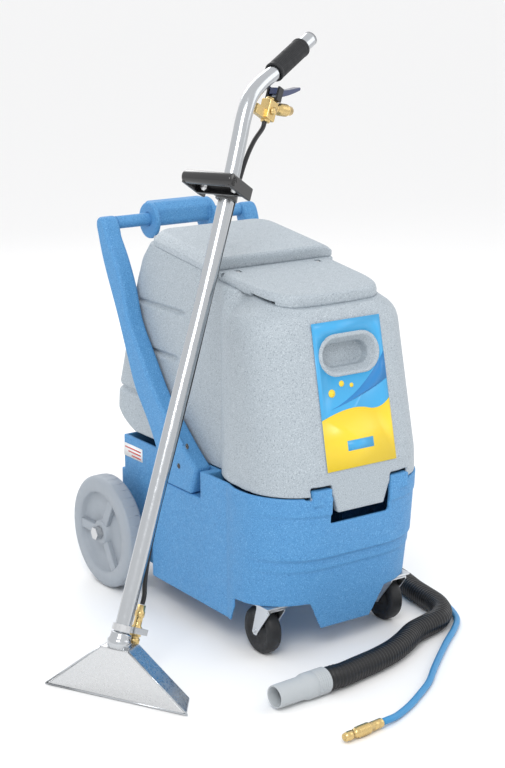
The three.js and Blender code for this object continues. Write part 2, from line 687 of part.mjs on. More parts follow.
// ---------------------------------------------------------------- wand
// Inside the wand's group +Z runs up the tube, +X along its handles and +Y to its rear.
const wand = new THREE.Group();
layout.add(wand);
const radians = Math.PI / 180;
function wandFrame() {
  const turn = WAND.azimuth * radians;
  const tip = WAND.tilt * radians;
  const across = v3(Math.sin(turn), -Math.cos(turn), 0);
  const lean = v3(Math.cos(turn), Math.sin(turn), 0);
  const rear = lean.clone().multiplyScalar(Math.cos(tip)).addScaledVector(Z, -Math.sin(tip));
  const up = lean.clone().multiplyScalar(Math.sin(tip)).addScaledVector(Z, Math.cos(tip));
  const matrix = new THREE.Matrix4().makeBasis(across, rear, up);
  return matrix.setPosition(...WAND.foot);
}
wand.applyMatrix4(wandFrame());

// The tube is straight, leans forward a little above its middle, and is bent back at the top.
const LOWER_RUN = [[0, 0, 4], [0, 0, 200], [0, -0.5, 500], [0, -0.5, 700], [0, -7.5, 940]];
const BEND_RUN = [
  [0, -7.5, 939], [0, -12, 1010], [0, -14.5, 1050], [0, -9, 1095], [0, 12, 1129], [0, 48.5, 1168],
];
const END = { from: [48.5, 1168], to: [152, 1287] };
const END_ANGLE = Math.atan2(END.to[0] - END.from[0], END.to[1] - END.from[1]);
const END_LENGTH = Math.hypot(END.to[0] - END.from[0], END.to[1] - END.from[1]);
const atEnd = (geometry) => geometry.rotateX(-END_ANGLE).translate(0, ...END.from);
function wandTube() {
  const stretch = (r, extra) =>
    join(
      tube(LOWER_RUN, r, 4, 12),
      tube(BEND_RUN, r, 7, 12),
      atEnd(rodZ(r, -6, END_LENGTH + extra, 12))
    );
  return cut(stretch(WAND.r, 0), stretch(WAND.r - WAND.wall, 4), rodZ(WAND.r - WAND.wall, -10, 20, 12));
}
add(wand, "wand_tube", wandTube(), chrome);
const sleeve = turned([[WAND.r + 1, 4], [21, 4], [21, 118], [WAND.r + 1, 118], [WAND.r + 1, 4]], 14);
add(wand, "wand_grip", atEnd(sleeve), rubber);

// The loop handle: a bar on two cheeks in front of the tube, held by a clamp round it.
const LOOP = { half: 57, bar: [-80, 900], clamp: [-6.2, 894] };
function frontHandle() {
  const [barY, barZ] = LOOP.bar;
  const [, clampZ] = LOOP.clamp;
  const cheek = polygon([
    [barY - 4, barZ + 12], [barY + 8, barZ + 12], [-6, clampZ + 14], [-6, clampZ - 12], [-26, clampZ - 12],
    [barY - 8, barZ - 14],
  ]);
  const cheeks = [-LOOP.half, LOOP.half - 7].map((x) => alongX(cheek, x, x + 7));
  const bar = rodX(13.5, -LOOP.half, LOOP.half, 12).translate(0, barY, barZ);
  const plate = box(-LOOP.half + 3, LOOP.half - 3, -38, -31, clampZ - 12, clampZ + 13);
  return join(bar, ...cheeks, plate);
}
function handleClamp() {
  const [y, z] = LOOP.clamp;
  const ears = box(-16, 16, -30.7, -14, z - 12, z + 12);
  const body = join(rodZ(22, z - 14, z + 12, 14).translate(0, y, 0), ears);
  return cut(body, rodZ(WAND.r + 1, z - 30, z + 30, 14).translate(0, y, 0));
}
add(wand, "front_handle", frontHandle(), black);
add(wand, "handle_clamp", handleClamp(), black);

// The solution valve behind the bend, its trigger, its quick coupler, and the line down to the jet.
const VALVE = { y: 62, z: 1094 };
const TRIGGER = { y: 72, z: 1138 };
function valveBody() {
  const block = box(-13, 13, VALVE.y - 14, VALVE.y + 18, VALVE.z - 22, VALVE.z + 24);
  const bridge = box(-6, 6, 14, VALVE.y - 10, VALVE.z - 22, VALVE.z - 2);
  const saddle = cut(
    box(-10, 10, 5, 22, VALVE.z - 30, VALVE.z - 2), tube(BEND_RUN, WAND.r + 1, 7, 12)
  );
  return join(block, bridge, saddle);
}
function triggerLever() {
  const shape = polygon([
    [-8, -7], [6, -9], [40, 8], [78, 34], [76, 40], [36, 19], [4, 7], [-8, 7],
  ]);
  const arm = alongX(shape, -9, 9).translate(0, TRIGGER.y, TRIGGER.z);
  return cut(arm, rodX(3 + GAP, -20, 20, 10).translate(0, TRIGGER.y, TRIGGER.z));
}
function triggerYoke() {
  const cheeks = [-14.5, 10.5].map((x) => {
    return box(x, x + 4, TRIGGER.y - 9, TRIGGER.y + 8, VALVE.z + 24.3, TRIGGER.z + 9);
  });
  const foot = box(-14.5, 14.5, TRIGGER.y - 9, TRIGGER.y + 8, VALVE.z + 24.3, VALVE.z + 30);
  return join(...cheeks, foot, rodX(3, -12, 12, 10).translate(0, TRIGGER.y, TRIGGER.z));
}
const coupler = turned([[0, 0], [9, 0], [9, 14], [13, 16], [13, 44], [10, 46], [10, 62], [0, 62]], 14);
add(wand, "valve_body", valveBody(), brass);
add(wand, "trigger_yoke", triggerYoke(), black);
add(wand, "trigger_lever", triggerLever(), darkBlue);
add(wand, "wand_coupler", coupler.rotateX(-1.28).translate(0, VALVE.y + 21.2, VALVE.z + 12), brass);
const LINE_TO_JET = [
  [0, 60, 1070.5], [0, 60, 1058], [0, 40, 1020], [0, 25, 960], [0, 24, 500], [0, 24, 190], [0, 34, 125],
  [0, 45, 90], [0, 45, 75],
];
add(wand, "solution_line", tube(LINE_TO_JET, 5, 20, 8), black);
const jet = turned([[0, -8], [6, -8], [12, 0], [12, 30], [8, 36], [8, 74], [0, 74]], 12);
add(wand, "spray_jet", jet.translate(0, 45, 0), brass);
const strap = cut(
  join(rodZ(20.5, 18, 30, 14), box(-17, 17, 17, 62, 18, 30)),
  rodZ(WAND.r + 1, 0, 60, 14),
  rodZ(12.6, 0, 60, 12).translate(0, 45, 0),
);
add(wand, "jet_bracket", strap, steel);

// The flat suction head: a hollow fan with its mouth on the floor and a neck round the tube.
function fan(inset, rise) {
  const foot = { front: [159 - inset, inset], back: [126 - inset, 71 - inset] };
  const neck = { front: [31 - inset, 2 + inset], back: [31 - inset, 44 - inset] };
  return warped(new THREE.BoxGeometry(2, 2, 2), (x, y, z) => {
    const [half, depth] = (z > 0 ? neck : foot)[y > 0 ? "back" : "front"];
    return [x * half, depth, z > 0 ? 104 + rise : -rise];
  });
}
function wandHead() {
  const collar = rodZ(20, 0, 34, 14);
  const along = new THREE.Matrix4().copy(headFrame().invert()).multiply(wandFrame());
  const placed = (geometry) => geometry.applyMatrix4(along);
  const body = join(fan(0, 0), placed(collar.clone().translate(0, 0, -20)));
  const throat = placed(rodZ(WAND.r + 1, 3, 40, 14));
  const passage = placed(rodZ(13, -34, 10, 14));
  return cut(body, fan(4, 0.01), throat, passage);
}
function headFrame() {
  const turn = HEAD.azimuth * radians;
  const across = v3(Math.sin(turn), -Math.cos(turn), 0);
  const lean = v3(Math.cos(turn), Math.sin(turn), 0);
  return new THREE.Matrix4().makeBasis(across, lean, Z).setPosition(HEAD.x, HEAD.y, 0);
}
const head = new THREE.Group();
head.applyMatrix4(headFrame());
layout.add(head);
add(head, "wand_head", wandHead(), chrome);

// ---------------------------------------------------------------- hoses
// Each hose's route, from the end that lies in front round the machine's right side to its coil.
const HOSE_Z = 24.2;
const HOSE_RUN = [
  [-171.6, -493.6, 26.5], [-150, -492.8, 26.3], [-130.4, -491.6, 25], [-77.2, -481.5], [-27.5, -472.5],
  [29.7, -455.5], [76.8, -433.1], [120.9, -408.6], [165, -396], [207, -383], [240, -355],
  [259, -318], [267, -275], [275, -225], [291, -156.6],
  [299, -50], [306, 60], [330, 180], [376, 285], [420, 343], [466, 389.5],
].map(([x, y, z = HOSE_Z]) => [x, y, z]);
const BIG_COIL = { x: 413, y: 690, r: 250, from: 3, to: 134 };
const HOSE_TAIL = [
  [96, 330.9, 205], [96, 380, 205], [100, 440, 194], [118, 500, 170],
];
const LINE_Z = 8.6;
const LINE_RUN = [
  [-179.4, -676.8, 11.2], [-160, -674.6, 11], [-138.2, -667.9, 8.4], [-87.8, -645.9],
  [-37.3, -616.7], [12.2, -584.8], [60, -543.6],
  [109.6, -502.8], [170, -455], [228, -412], [268, -374], [294, -322], [314, -250], [331, -170], [340, -90],
  [346, 0], [368, 90], [412, 170], [455, 235, 9], [464, 290, 36], [424, 342, 60], [370, 378, 42],
  [318, 402, 13], [260, 420], [170, 433], [64, 440],
].map(([x, y, z = LINE_Z]) => [x, y, z]);
const SMALL_COIL = { x: 10, y: 520, r: 80, from: 3, to: 90 };
const LINE_TAIL = [
  [30, 324.9, 200], [30, 350, 200], [40, 400, 176], [68, 436, 138], [84, 462, 106],
];
function coil({ r, from, to }, d) {
  const half = d / 2 + 0.5;
  return turned([[r - half, from], [r + half, from], [r + half, to], [r - half, to], [r - half, from]], 24);
}
function tie({ r, from, to }, d) {
  const half = d / 2 + 2.2;
  const outer = box(r - half - 2, r + half + 2, -9, 9, from - 2.6, to + 2.5);
  return cut(outer, box(r - half, r + half, -20, 20, from - GAP, to + GAP));
}
add(layout, "vacuum_hose_run", tube(HOSE_RUN, HOSE_R - 0.3, 30, 10), rubber);
add(layout, "vacuum_hose_tail", tube(HOSE_TAIL, HOSE_R - 0.3, 4, 10), rubber);
add(layout, "vacuum_hose_coil", coil(BIG_COIL, 2 * HOSE_R), rubber).position.set(BIG_COIL.x, BIG_COIL.y, 0);
add(layout, "hose_tie", tie(BIG_COIL, 2 * HOSE_R), black).position.set(BIG_COIL.x, BIG_COIL.y, 0);
add(layout, "solution_hose_run", tube(LINE_RUN, LINE_R - 0.1, 34, 8), hoseBlue);
add(layout, "solution_hose_tail", tube(LINE_TAIL, LINE_R - 0.1, 6, 8), hoseBlue);
add(layout, "solution_hose_coil", coil(SMALL_COIL, 2 * LINE_R), hoseBlue).position.set(SMALL_COIL.x, SMALL_COIL.y, 0);
const cuff = turned([[19.5, 0], [26.3, 0], [26.3, 52], [23, 60], [23, 124], [19.5, 124], [19.5, 0]], 16);
const cuffMesh = add(layout, "hose_cuff", cuff.rotateY(-Math.PI / 2), cuffGrey);
cuffMesh.position.set(-173.4, -493.7, 26.5);
cuffMesh.rotation.z = 0.062;
const plug = turned([[0, 0], [9, 0], [9, 31], [11, 33], [11, 62], [9, 66], [9, 94], [0, 94]], 12);
const plugMesh = add(layout, "hose_plug", plug.rotateY(-Math.PI / 2), brass);
plugMesh.position.set(-180.6, -676.9, 11.2);
plugMesh.rotation.z = 0.105;

export default root;
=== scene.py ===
"""A wheeled box carpet cleaner with its floor wand and hoses, dressed over its CAD frame."""

import math

import bmesh
import bpy
from mathutils import Matrix, Vector


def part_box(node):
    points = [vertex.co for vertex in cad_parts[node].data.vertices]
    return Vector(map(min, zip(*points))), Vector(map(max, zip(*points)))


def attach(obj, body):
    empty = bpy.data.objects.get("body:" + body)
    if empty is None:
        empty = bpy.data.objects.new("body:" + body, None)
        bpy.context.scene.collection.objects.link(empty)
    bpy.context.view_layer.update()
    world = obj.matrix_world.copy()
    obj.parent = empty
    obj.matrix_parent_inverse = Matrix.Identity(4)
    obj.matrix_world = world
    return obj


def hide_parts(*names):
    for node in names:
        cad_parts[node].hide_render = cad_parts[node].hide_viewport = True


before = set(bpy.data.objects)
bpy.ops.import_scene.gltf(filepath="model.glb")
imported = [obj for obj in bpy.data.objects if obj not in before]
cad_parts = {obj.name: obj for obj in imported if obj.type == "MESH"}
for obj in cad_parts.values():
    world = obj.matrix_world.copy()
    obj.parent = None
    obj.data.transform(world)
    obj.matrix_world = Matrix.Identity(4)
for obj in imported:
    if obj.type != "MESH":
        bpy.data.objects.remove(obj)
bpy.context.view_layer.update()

# ------------------------------------------------------------------ frame of the layout
# Shapes are written in millimetres about the machine's centre plane, like the CAD's own layout.
axle_low, axle_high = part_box("rear_axle")
AXLE_Y = 250
LAYOUT = Vector((
    (axle_low[0] + axle_high[0]) / 2,
    (axle_low[1] + axle_high[1]) / 2 - AXLE_Y / 1000,
    0,
))


def metres(point):
    return LAYOUT + Vector(point) / 1000


# ------------------------------------------------------------------ camera
def look_from(place, yaw, pitch, roll, lens):
    data = bpy.data.cameras.new("camera")
    data.lens = lens
    data.sensor_width = 36
    data.clip_end = 100
    camera = bpy.data.objects.new("camera", data)
    bpy.context.scene.collection.objects.link(camera)
    camera.location = metres(place)
    turn = Matrix.Rotation(-yaw, 3, "Z") @ Matrix.Rotation(math.pi / 2 - pitch, 3, "X")
    camera.rotation_mode = "QUATERNION"
    camera.rotation_quaternion = (turn @ Matrix.Rotation(roll, 3, "Z")).to_quaternion()
    bpy.context.scene.camera = camera


look_from(
    place=(-1992.5, -2905.7, 1394.2),
    yaw=math.radians(34.46),
    pitch=math.radians(14.47),
    roll=math.radians(-0.35),
    lens=79.5,
)


# ------------------------------------------------------------------ materials
def shader(name, color, roughness, metallic=0.0, coat=0.0, specular=0.5):
    material = bpy.data.materials.new(name)
    material.use_nodes = True
    tree = material.node_tree
    out = tree.nodes["Principled BSDF"]
    out.inputs["Base Color"].default_value = (*color, 1)
    out.inputs["Roughness"].default_value = roughness
    out.inputs["Metallic"].default_value = metallic
    out.inputs["Coat Weight"].default_value = coat
    out.inputs["Specular IOR Level"].default_value = specular
    return material, tree, out


def coordinates(tree, stretch=(1, 1, 1)):
    place = tree.nodes.new("ShaderNodeTexCoord")
    mapping = tree.nodes.new("ShaderNodeMapping")
    mapping.inputs["Scale"].default_value = stretch
    tree.links.new(place.outputs["Object"], mapping.inputs["Vector"])
    return mapping.outputs["Vector"]


def noise(tree, vector, scale, detail=3.0, rough=0.6):
    node = tree.nodes.new("ShaderNodeTexNoise")
    node.inputs["Scale"].default_value = scale
    node.inputs["Detail"].default_value = detail
    node.inputs["Roughness"].default_value = rough
    tree.links.new(vector, node.inputs["Vector"])
    return node.outputs["Fac"]


def ramp(tree, value, stops):
    node = tree.nodes.new("ShaderNodeValToRGB")
    while len(node.color_ramp.elements) < len(stops):
        node.color_ramp.elements.new(0.5)
    for element, (place, color) in zip(node.color_ramp.elements, stops):
        element.position = place
        element.color = (*color, 1)
    tree.links.new(value, node.inputs["Fac"])
    return node.outputs["Color"]


def bump(tree, out, height, strength, distance):
    node = tree.nodes.new("ShaderNodeBump")
    node.inputs["Strength"].default_value = strength
    node.inputs["Distance"].default_value = distance
    tree.links.new(height, node.inputs["Height"])
    tree.links.new(node.outputs["Normal"], out.inputs["Normal"])


def grey_stops(low, high, at=(0.3, 0.7)):
    return [(at[0], (low, low, low)), (at[1], (high, high, high))]


# Rotomoulded plastic: flecks of darker and lighter powder in the base colour, and a fine orange peel.
def speckled(name, base, dark, light, roughness=0.62):
    material, tree, out = shader(name, base, roughness)
    vector = coordinates(tree)
    flecks = noise(tree, vector, 420, detail=2.5, rough=0.75)
    stops = [(0.36, dark), (0.44, base), (0.56, base), (0.66, light)]
    tree.links.new(ramp(tree, flecks, stops), out.inputs["Base Color"])
    tree.links.new(
        ramp(tree, noise(tree, vector, 60), grey_stops(roughness - 0.08, roughness + 0.1)),
        out.inputs["Roughness"],
    )
    bump(tree, out, noise(tree, vector, 700, detail=2), 0.25, 0.0006)
    return material


def grained(name, color, roughness, scale=500, depth=0.0004, **more):
    material, tree, out = shader(name, color, roughness, **more)
    vector = coordinates(tree)
    spread = ramp(tree, noise(tree, vector, scale / 8), grey_stops(roughness * 0.8, roughness * 1.2))
    tree.links.new(spread, out.inputs["Roughness"])
    bump(tree, out, noise(tree, vector, scale), 0.3, depth)
    return material


def brushed(name, color, roughness, stretch, scale=300, depth=0.0002):
    material, tree, out = shader(name, color, roughness, metallic=1.0)
    vector = coordinates(tree, stretch)
    streaks = noise(tree, vector, scale, detail=4)
    spread = ramp(tree, streaks, grey_stops(roughness * 0.7, min(roughness * 1.5, 1)))
    tree.links.new(spread, out.inputs["Roughness"])
    bump(tree, out, streaks, 0.15, depth)
    return material


BLUE = speckled("base_blue", (0.075, 0.265, 0.53), (0.04, 0.17, 0.4), (0.16, 0.4, 0.68))
GREY = speckled("tank_grey", (0.37, 0.42, 0.46), (0.22, 0.255, 0.29), (0.52, 0.575, 0.61), 0.55)
WHEEL_GREY = grained("wheel_grey", (0.31, 0.345, 0.385), 0.5)
BLACK = grained("black_plastic", (0.012, 0.012, 0.013), 0.42)
ENAMEL = grained("black_enamel", (0.006, 0.006, 0.007), 0.2, scale=120, depth=0.0002, coat=0.6)
RUBBER = grained("rubber", (0.007, 0.008, 0.01), 0.55, scale=800)
HOSE_BLACK = grained("hose_black", (0.005, 0.0055, 0.007), 0.4)
STEEL = brushed("steel", (0.6, 0.61, 0.62), 0.32, (1, 1, 0.05))
ZINC = brushed("zinc", (0.66, 0.68, 0.7), 0.36, (1, 0.3, 1), scale=90)
CHROME = brushed("chrome", (0.5, 0.52, 0.54), 0.17, (1, 1, 0.03))
HEAD_METAL = brushed("head_metal", (0.62, 0.63, 0.64), 0.28, (1, 1, 1), scale=220, depth=0.0008)
BRASS = brushed("brass", (0.68, 0.5, 0.22), 0.26, (1, 1, 0.2))
TRIGGER_BLUE = grained("trigger_blue", (0.02, 0.035, 0.11), 0.35, coat=0.4)
HOSE_BLUE = grained("hose_blue", (0.03, 0.24, 0.5), 0.4, scale=300)
CUFF_GREY = grained("cuff_grey", (0.42, 0.45, 0.47), 0.55)
LABEL_BLUE = grained("label_blue", (0.05, 0.36, 0.68), 0.35, scale=200, depth=0.0001)
LABEL_DEEP = grained("label_deep", (0.02, 0.2, 0.5), 0.35, scale=200, depth=0.0001)
LABEL_YELLOW = grained("label_yellow", (0.86, 0.62, 0.03), 0.35, scale=200, depth=0.0001)
LABEL_WHITE = grained("label_white", (0.85, 0.86, 0.86), 0.4, scale=200, depth=0.0001)
LABEL_RED = grained("label_red", (0.6, 0.06, 0.05), 0.4, scale=200, depth=0.0001)


# ------------------------------------------------------------------ mesh helpers
def mesh_piece(name, points, faces, material, smooth=True):
    mesh = bpy.data.meshes.new(name)
    mesh.from_pydata([metres(p) for p in points], [], faces)
    mesh.materials.append(material)
    piece = bpy.data.objects.new(name, mesh)
    bpy.context.scene.collection.objects.link(piece)
    work = bmesh.new()
    work.from_mesh(mesh)
    bmesh.ops.recalc_face_normals(work, faces=work.faces)
    work.to_mesh(mesh)
    work.free()
    for face in mesh.polygons:
        face.use_smooth = smooth
    return piece


def ring_faces(rows, count, closed=False):
    faces = []
    for row in range(rows if closed else rows - 1):
        after = (row + 1) % rows
        for i in range(count):
            j = (i + 1) % count
            faces.append((row * count + i, row * count + j, after * count + j, after * count + i))
    return faces


def loft(name, rings, material, capped=True):
    count = len(rings[0])
    faces = ring_faces(len(rings), count)
    if capped:
        faces.append(tuple(range(count)))
        faces.append(tuple(range((len(rings) - 1) * count, len(rings) * count)))
    return mesh_piece(name, [p for ring in rings for p in ring], faces, material)


def prism(name, outline, axis, low, high, material):
    """An outline of two coordinates, drawn out along the third axis from low to high."""
    def at(a, b, c):
        return {"x": (c, a, b), "y": (a, c, b), "z": (a, b, c)}[axis]

    return loft(name, [[at(a, b, c) for a, b in outline] for c in (low, high)], material)


def block(name, x, y, z, material):
    return prism(name, [(x[0], y[0]), (x[1], y[0]), (x[1], y[1]), (x[0], y[1])], "z", *z, material)


def turned(name, profile, material, centre, axis, sides=64, closed=True):
    """A (radius, height) profile turned about an axis through centre."""
    axis = Vector(axis).normalized()
    side = axis.orthogonal().normalized()
    other = axis.cross(side)
    points = []
    for r, h in profile:
        for i in range(sides):
            turn = 2 * math.pi * i / sides
            spoke = side * math.cos(turn) + other * math.sin(turn)
            points.append(Vector(centre) + axis * h + spoke * r)
    faces = ring_faces(len(profile), sides, closed)
    if not closed:
        faces.append(tuple(range(sides)))
        faces.append(tuple(range(len(points) - sides, len(points))))
    return mesh_piece(name, points, faces, material)


def swept(name, path, radii, material, sides=32):
    """A round bar along a path, with its own radius at each point and flat ends."""
    points = []
    across = None
    for i, point in enumerate(path):
        here = Vector(point)
        ahead = Vector(path[min(i + 1, len(path) - 1)]) - Vector(path[max(i - 1, 0)])
        ahead.normalize()
        if across is None:
            across = ahead.orthogonal().normalized()
        across = (across - ahead * across.dot(ahead)).normalized()
        other = ahead.cross(across)
        for k in range(sides):
            turn = 2 * math.pi * k / sides
            points.append(here + (across * math.cos(turn) + other * math.sin(turn)) * radii[i])
    faces = ring_faces(len(path), sides)
    faces.append(tuple(range(sides)))
    faces.append(tuple(range(len(points) - sides, len(points))))
    return mesh_piece(name, points, faces, material)


def settle(piece):
    """The piece's modifiers become its mesh."""
    shown = piece.evaluated_get(bpy.context.evaluated_depsgraph_get())
    mesh = bpy.data.meshes.new_from_object(shown)
    piece.modifiers.clear()
    old = piece.data
    piece.data = mesh
    bpy.data.meshes.remove(old)
    return piece


def combine(piece, kind, tools):
    for tool in tools:
        change = piece.modifiers.new("change", "BOOLEAN")
        change.operation = kind
        change.solver = "EXACT"
        change.object = tool
    bpy.context.view_layer.update()
    settle(piece)
    for tool in tools:
        bpy.data.objects.remove(tool, do_unlink=True)
    return piece


def soften(piece, voxel, rounds):
    """Melts the edges as rotomoulding does: an even skin, relaxed a few times."""
    skin = piece.modifiers.new("skin", "REMESH")
    skin.mode = "VOXEL"
    skin.voxel_size = voxel / 1000
    skin.use_smooth_shade = True
    relax = piece.modifiers.new("relax", "SMOOTH")
    relax.factor = 0.5
    relax.iterations = rounds
    bpy.context.view_layer.update()
    return settle(piece)


def rounded(piece, width, segments=3, angle=35):
    edge = piece.modifiers.new("edge", "BEVEL")
    edge.width = width / 1000
    edge.segments = segments
    edge.limit_method = "ANGLE"
    edge.angle_limit = math.radians(angle)
    edge.harden_normals = True
    bpy.context.view_layer.update()
    return settle(piece)


def joined(name, parts):
    """Several pieces of one material as one object."""
    work = bmesh.new()
    for part in parts:
        work.from_mesh(part.data)
    mesh = parts[0].data.copy()
    work.to_mesh(mesh)
    work.free()
    whole = bpy.data.objects.new(name, mesh)
    bpy.context.scene.collection.objects.link(whole)
    for part in parts:
        bpy.data.objects.remove(part, do_unlink=True)
    return whole


def curve_points(points, per_span, closed=False):
    """A smooth line through points, by centripetal Catmull-Rom spans."""
    made = []
    last = len(points) - 1
    for i in range(last):
        p1, p2 = Vector(points[i]), Vector(points[i + 1])
        p0 = Vector(points[i - 1]) if i else p1 * 2 - p2
        p3 = Vector(points[i + 2]) if i + 2 <= last else p2 * 2 - p1
        t1 = (p1 - p0).length ** 0.5
        t2 = t1 + (p2 - p1).length ** 0.5
        t3 = t2 + (p3 - p2).length ** 0.5
        for k in range(per_span):
            t = t1 + (t2 - t1) * k / per_span
            a1 = p0 * ((t1 - t) / t1) + p1 * (t / t1)
            a2 = p1 * ((t2 - t) / (t2 - t1)) + p2 * ((t - t1) / (t2 - t1))
            a3 = p2 * ((t3 - t) / (t3 - t2)) + p3 * ((t - t2) / (t3 - t2))
            b1 = a1 * ((t2 - t) / t2) + a2 * (t / t2)
            b2 = a2 * ((t3 - t) / (t3 - t1)) + a3 * ((t - t1) / (t3 - t1))
            made.append(b1 * ((t2 - t) / (t2 - t1)) + b2 * ((t - t1) / (t2 - t1)))
    made.append(Vector(points[-1]))
    return made


def evenly(points, step):
    """The same line with its points an even step apart."""
    made = [Vector(points[0])]
    left = step
    for a, b in zip(points, points[1:]):
        a, b = Vector(a), Vector(b)
        while (b - a).length >= left:
            a = a + (b - a).normalized() * left
            made.append(a.copy())
            left = step
        left -= (b - a).length
    return made


def between(stations, at):
    if at <= stations[0][0]:
        return stations[0][1]
    for (p0, w0), (p1, w1) in zip(stations, stations[1:]):
        if at <= p1:
            return w0 + (w1 - w0) * (at - p0) / (p1 - p0)
    return stations[-1][1]


def arc(cx, cy, r, start, end, steps):
    turns = [math.radians(start + (end - start) * i / steps) for i in range(steps + 1)]
    return [(cx + r * math.cos(t), cy + r * math.sin(t)) for t in turns]


def bend(a, control, b, steps):
    made = []
    for i in range(steps + 1):
        t = i / steps
        made.append(tuple(
            (1 - t) ** 2 * p + 2 * t * (1 - t) * q + t * t * r for p, q, r in zip(a, control, b)
        ))
    return made


def show(piece, body, slot, *nodes):
    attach(piece, body)
    if nodes:
        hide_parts(*nodes)
    return piece


# ------------------------------------------------------------------ hoses
HOSE_R = 24
HOSE_RUN = [
    (-171.6, -493.6, 26.5), (-150, -492.8, 26.3), (-130.4, -491.6, 25), (-77.2, -481.5, 24.2),
    (-27.5, -472.5, 24.2), (29.7, -455.5, 24.2), (76.8, -433.1, 24.2), (120.9, -408.6, 24.2),
    (165, -396, 24.2), (207, -383, 24.2), (240, -355, 24.2), (259, -318, 24.2), (267, -275, 24.2),
    (275, -225, 24.2),
    (291, -156.6, 24.2), (299, -50, 24.2), (306, 60, 24.2), (330, 180, 24.2), (376, 285, 24.2),
    (420, 343, 24.2), (466, 389.5, 24.6),
]
HOSE_TAIL = [(118, 500, 170), (100, 440, 194), (96, 380, 205), (96, 331, 205)]
BIG_COIL = {"x": 413, "y": 690, "r": 250, "low": 27.5, "pitch": 49.5, "start": -45, "end": -180}
LINE_R = 7
LINE_RUN = [
    (-179.4, -676.8, 11.2), (-160, -674.6, 11), (-138.2, -667.9, 8.4), (-87.8, -645.9, 7.6),
    (-37.3, -616.7, 7.6), (12.2, -584.8, 7.6), (60, -543.6, 7.6), (109.6, -502.8, 7.6),
    (170, -455, 7.6), (228, -412, 7.6), (268, -374, 7.6), (294, -322, 7.6), (314, -250, 7.6),
    (331, -170, 7.6), (340, -90, 7.6), (346, 0, 7.6), (368, 90, 7.6), (412, 170, 7.6),
    (455, 235, 9), (464, 290, 36), (424, 342, 60), (370, 378, 42), (318, 402, 13), (260, 420, 8),
    (170, 433, 8), (64, 440, 8.6),
]
LINE_TAIL = [(84, 462, 106), (68, 436, 138), (40, 400, 176), (30, 350, 200), (30, 325, 200)]
SMALL_COIL = {"x": 10, "y": 520, "r": 80, "low": 11.5, "pitch": 14.6, "start": 270, "end": 0}


def coil_points(coil, turns, steps=36):
    """Turns of a coil from its start angle, rising as they go; a negative count winds the other way."""
    count = int(abs(turns) * steps)
    made = []
    for i in range(count + 1):
        share = i / count
        angle = math.radians(coil["start"]) + 2 * math.pi * turns * share
        rise = coil["low"] + coil["pitch"] * abs(turns) * share
        made.append((
            coil["x"] + coil["r"] * math.cos(angle), coil["y"] + coil["r"] * math.sin(angle), rise,
        ))
    return made


hose_path = evenly(
    curve_points(HOSE_RUN + coil_points(BIG_COIL, 1.625, 12) + HOSE_TAIL, 10), 5.0
)
line_path = evenly(
    curve_points(LINE_RUN + coil_points(SMALL_COIL, -4.75, 12)[1:] + LINE_TAIL, 10), 6.0
)


def ribbed_hose():
    """The suction hose's wound ribs: a crest and a root every turn of the helix."""
    fine = evenly(hose_path, 2.1)
    radii = [HOSE_R - 0.2 if i % 4 < 2 else HOSE_R - 2.6 for i in range(len(fine))]
    return swept("suction_hose", fine, radii, HOSE_BLACK, sides=20)


suction_hose = show(
    ribbed_hose(), "base", "hose_black", "vacuum_hose_run", "vacuum_hose_tail", "vacuum_hose_coil"
)
solution_hose = show(
    swept("solution_hose", line_path, [LINE_R - 0.2] * len(line_path), HOSE_BLUE, sides=12),
    "base", "hose_blue", "solution_hose_run", "solution_hose_tail", "solution_hose_coil",
)


# ------------------------------------------------------------------ base and tank skins
BASE = {"front": -388, "half": 208, "corner": 138, "crease": -195, "side": 198, "rim": 350}
TAIL = {"half": 160, "start": 101, "end": 290, "top": 336}
TANK = {"front": -383, "half": 197, "corner": 116, "crease": -125, "side": 158, "bottom": 352}
TANK_BACK = 333


def fronted(front, half, corner, crease, side, inset=0):
    """Half a plan on the left, from the crease round the rounded front to the middle, then mirrored."""
    f, w, r, s = front + inset, half - inset, corner - inset, side - inset
    turn_y = min(crease - 45, f + r + 20)
    left = bend((-s, crease), (-w, crease - 30), (-w, turn_y), 10)
    left += [(-w, turn_y + (f + r - turn_y) * k / 3) for k in (1, 2)]
    left += arc(-w + r, f + r, r, 180, 270, 22)
    left += [(-(w - r) * k / 8, f) for k in range(7, 0, -1)]
    return left + [(0, f)] + [(-x, y) for x, y in reversed(left)]


def base_rings(inset, levels):
    plan = fronted(BASE["front"], BASE["half"], BASE["corner"], BASE["crease"], BASE["side"], inset)
    side, half = BASE["side"] - inset, TAIL["half"] - inset
    start, end = TAIL["start"] - inset, TAIL["end"] - inset
    back = [(side, start), (half, start), (half, end), (-half, end), (-half, start), (-side, start)]
    rings = []
    for z in levels:
        face = between(BASE_FRONT, z)
        reach = (face - BASE["crease"]) / (BASE["front"] - BASE["crease"])
        ring = []
        for x, y in plan + back:
            if y <= BASE["crease"]:
                fade = min((BASE["crease"] - y) / 60, 1)
                x *= 1 - 0.04 * (1 - z / BASE["rim"]) * fade
                y = BASE["crease"] + (y - BASE["crease"]) * reach
            ring.append((x, y, z))
        rings.append(ring)
    return rings


# The front of the base narrows to the floor in two shallow steps, under a thicker rim.
BASE_FRONT = [
    (50, -333), (120, -345), (187, -357), (191, -361), (213, -364), (218, -372), (309, -381),
    (312, -385.5), (350, -388),
]


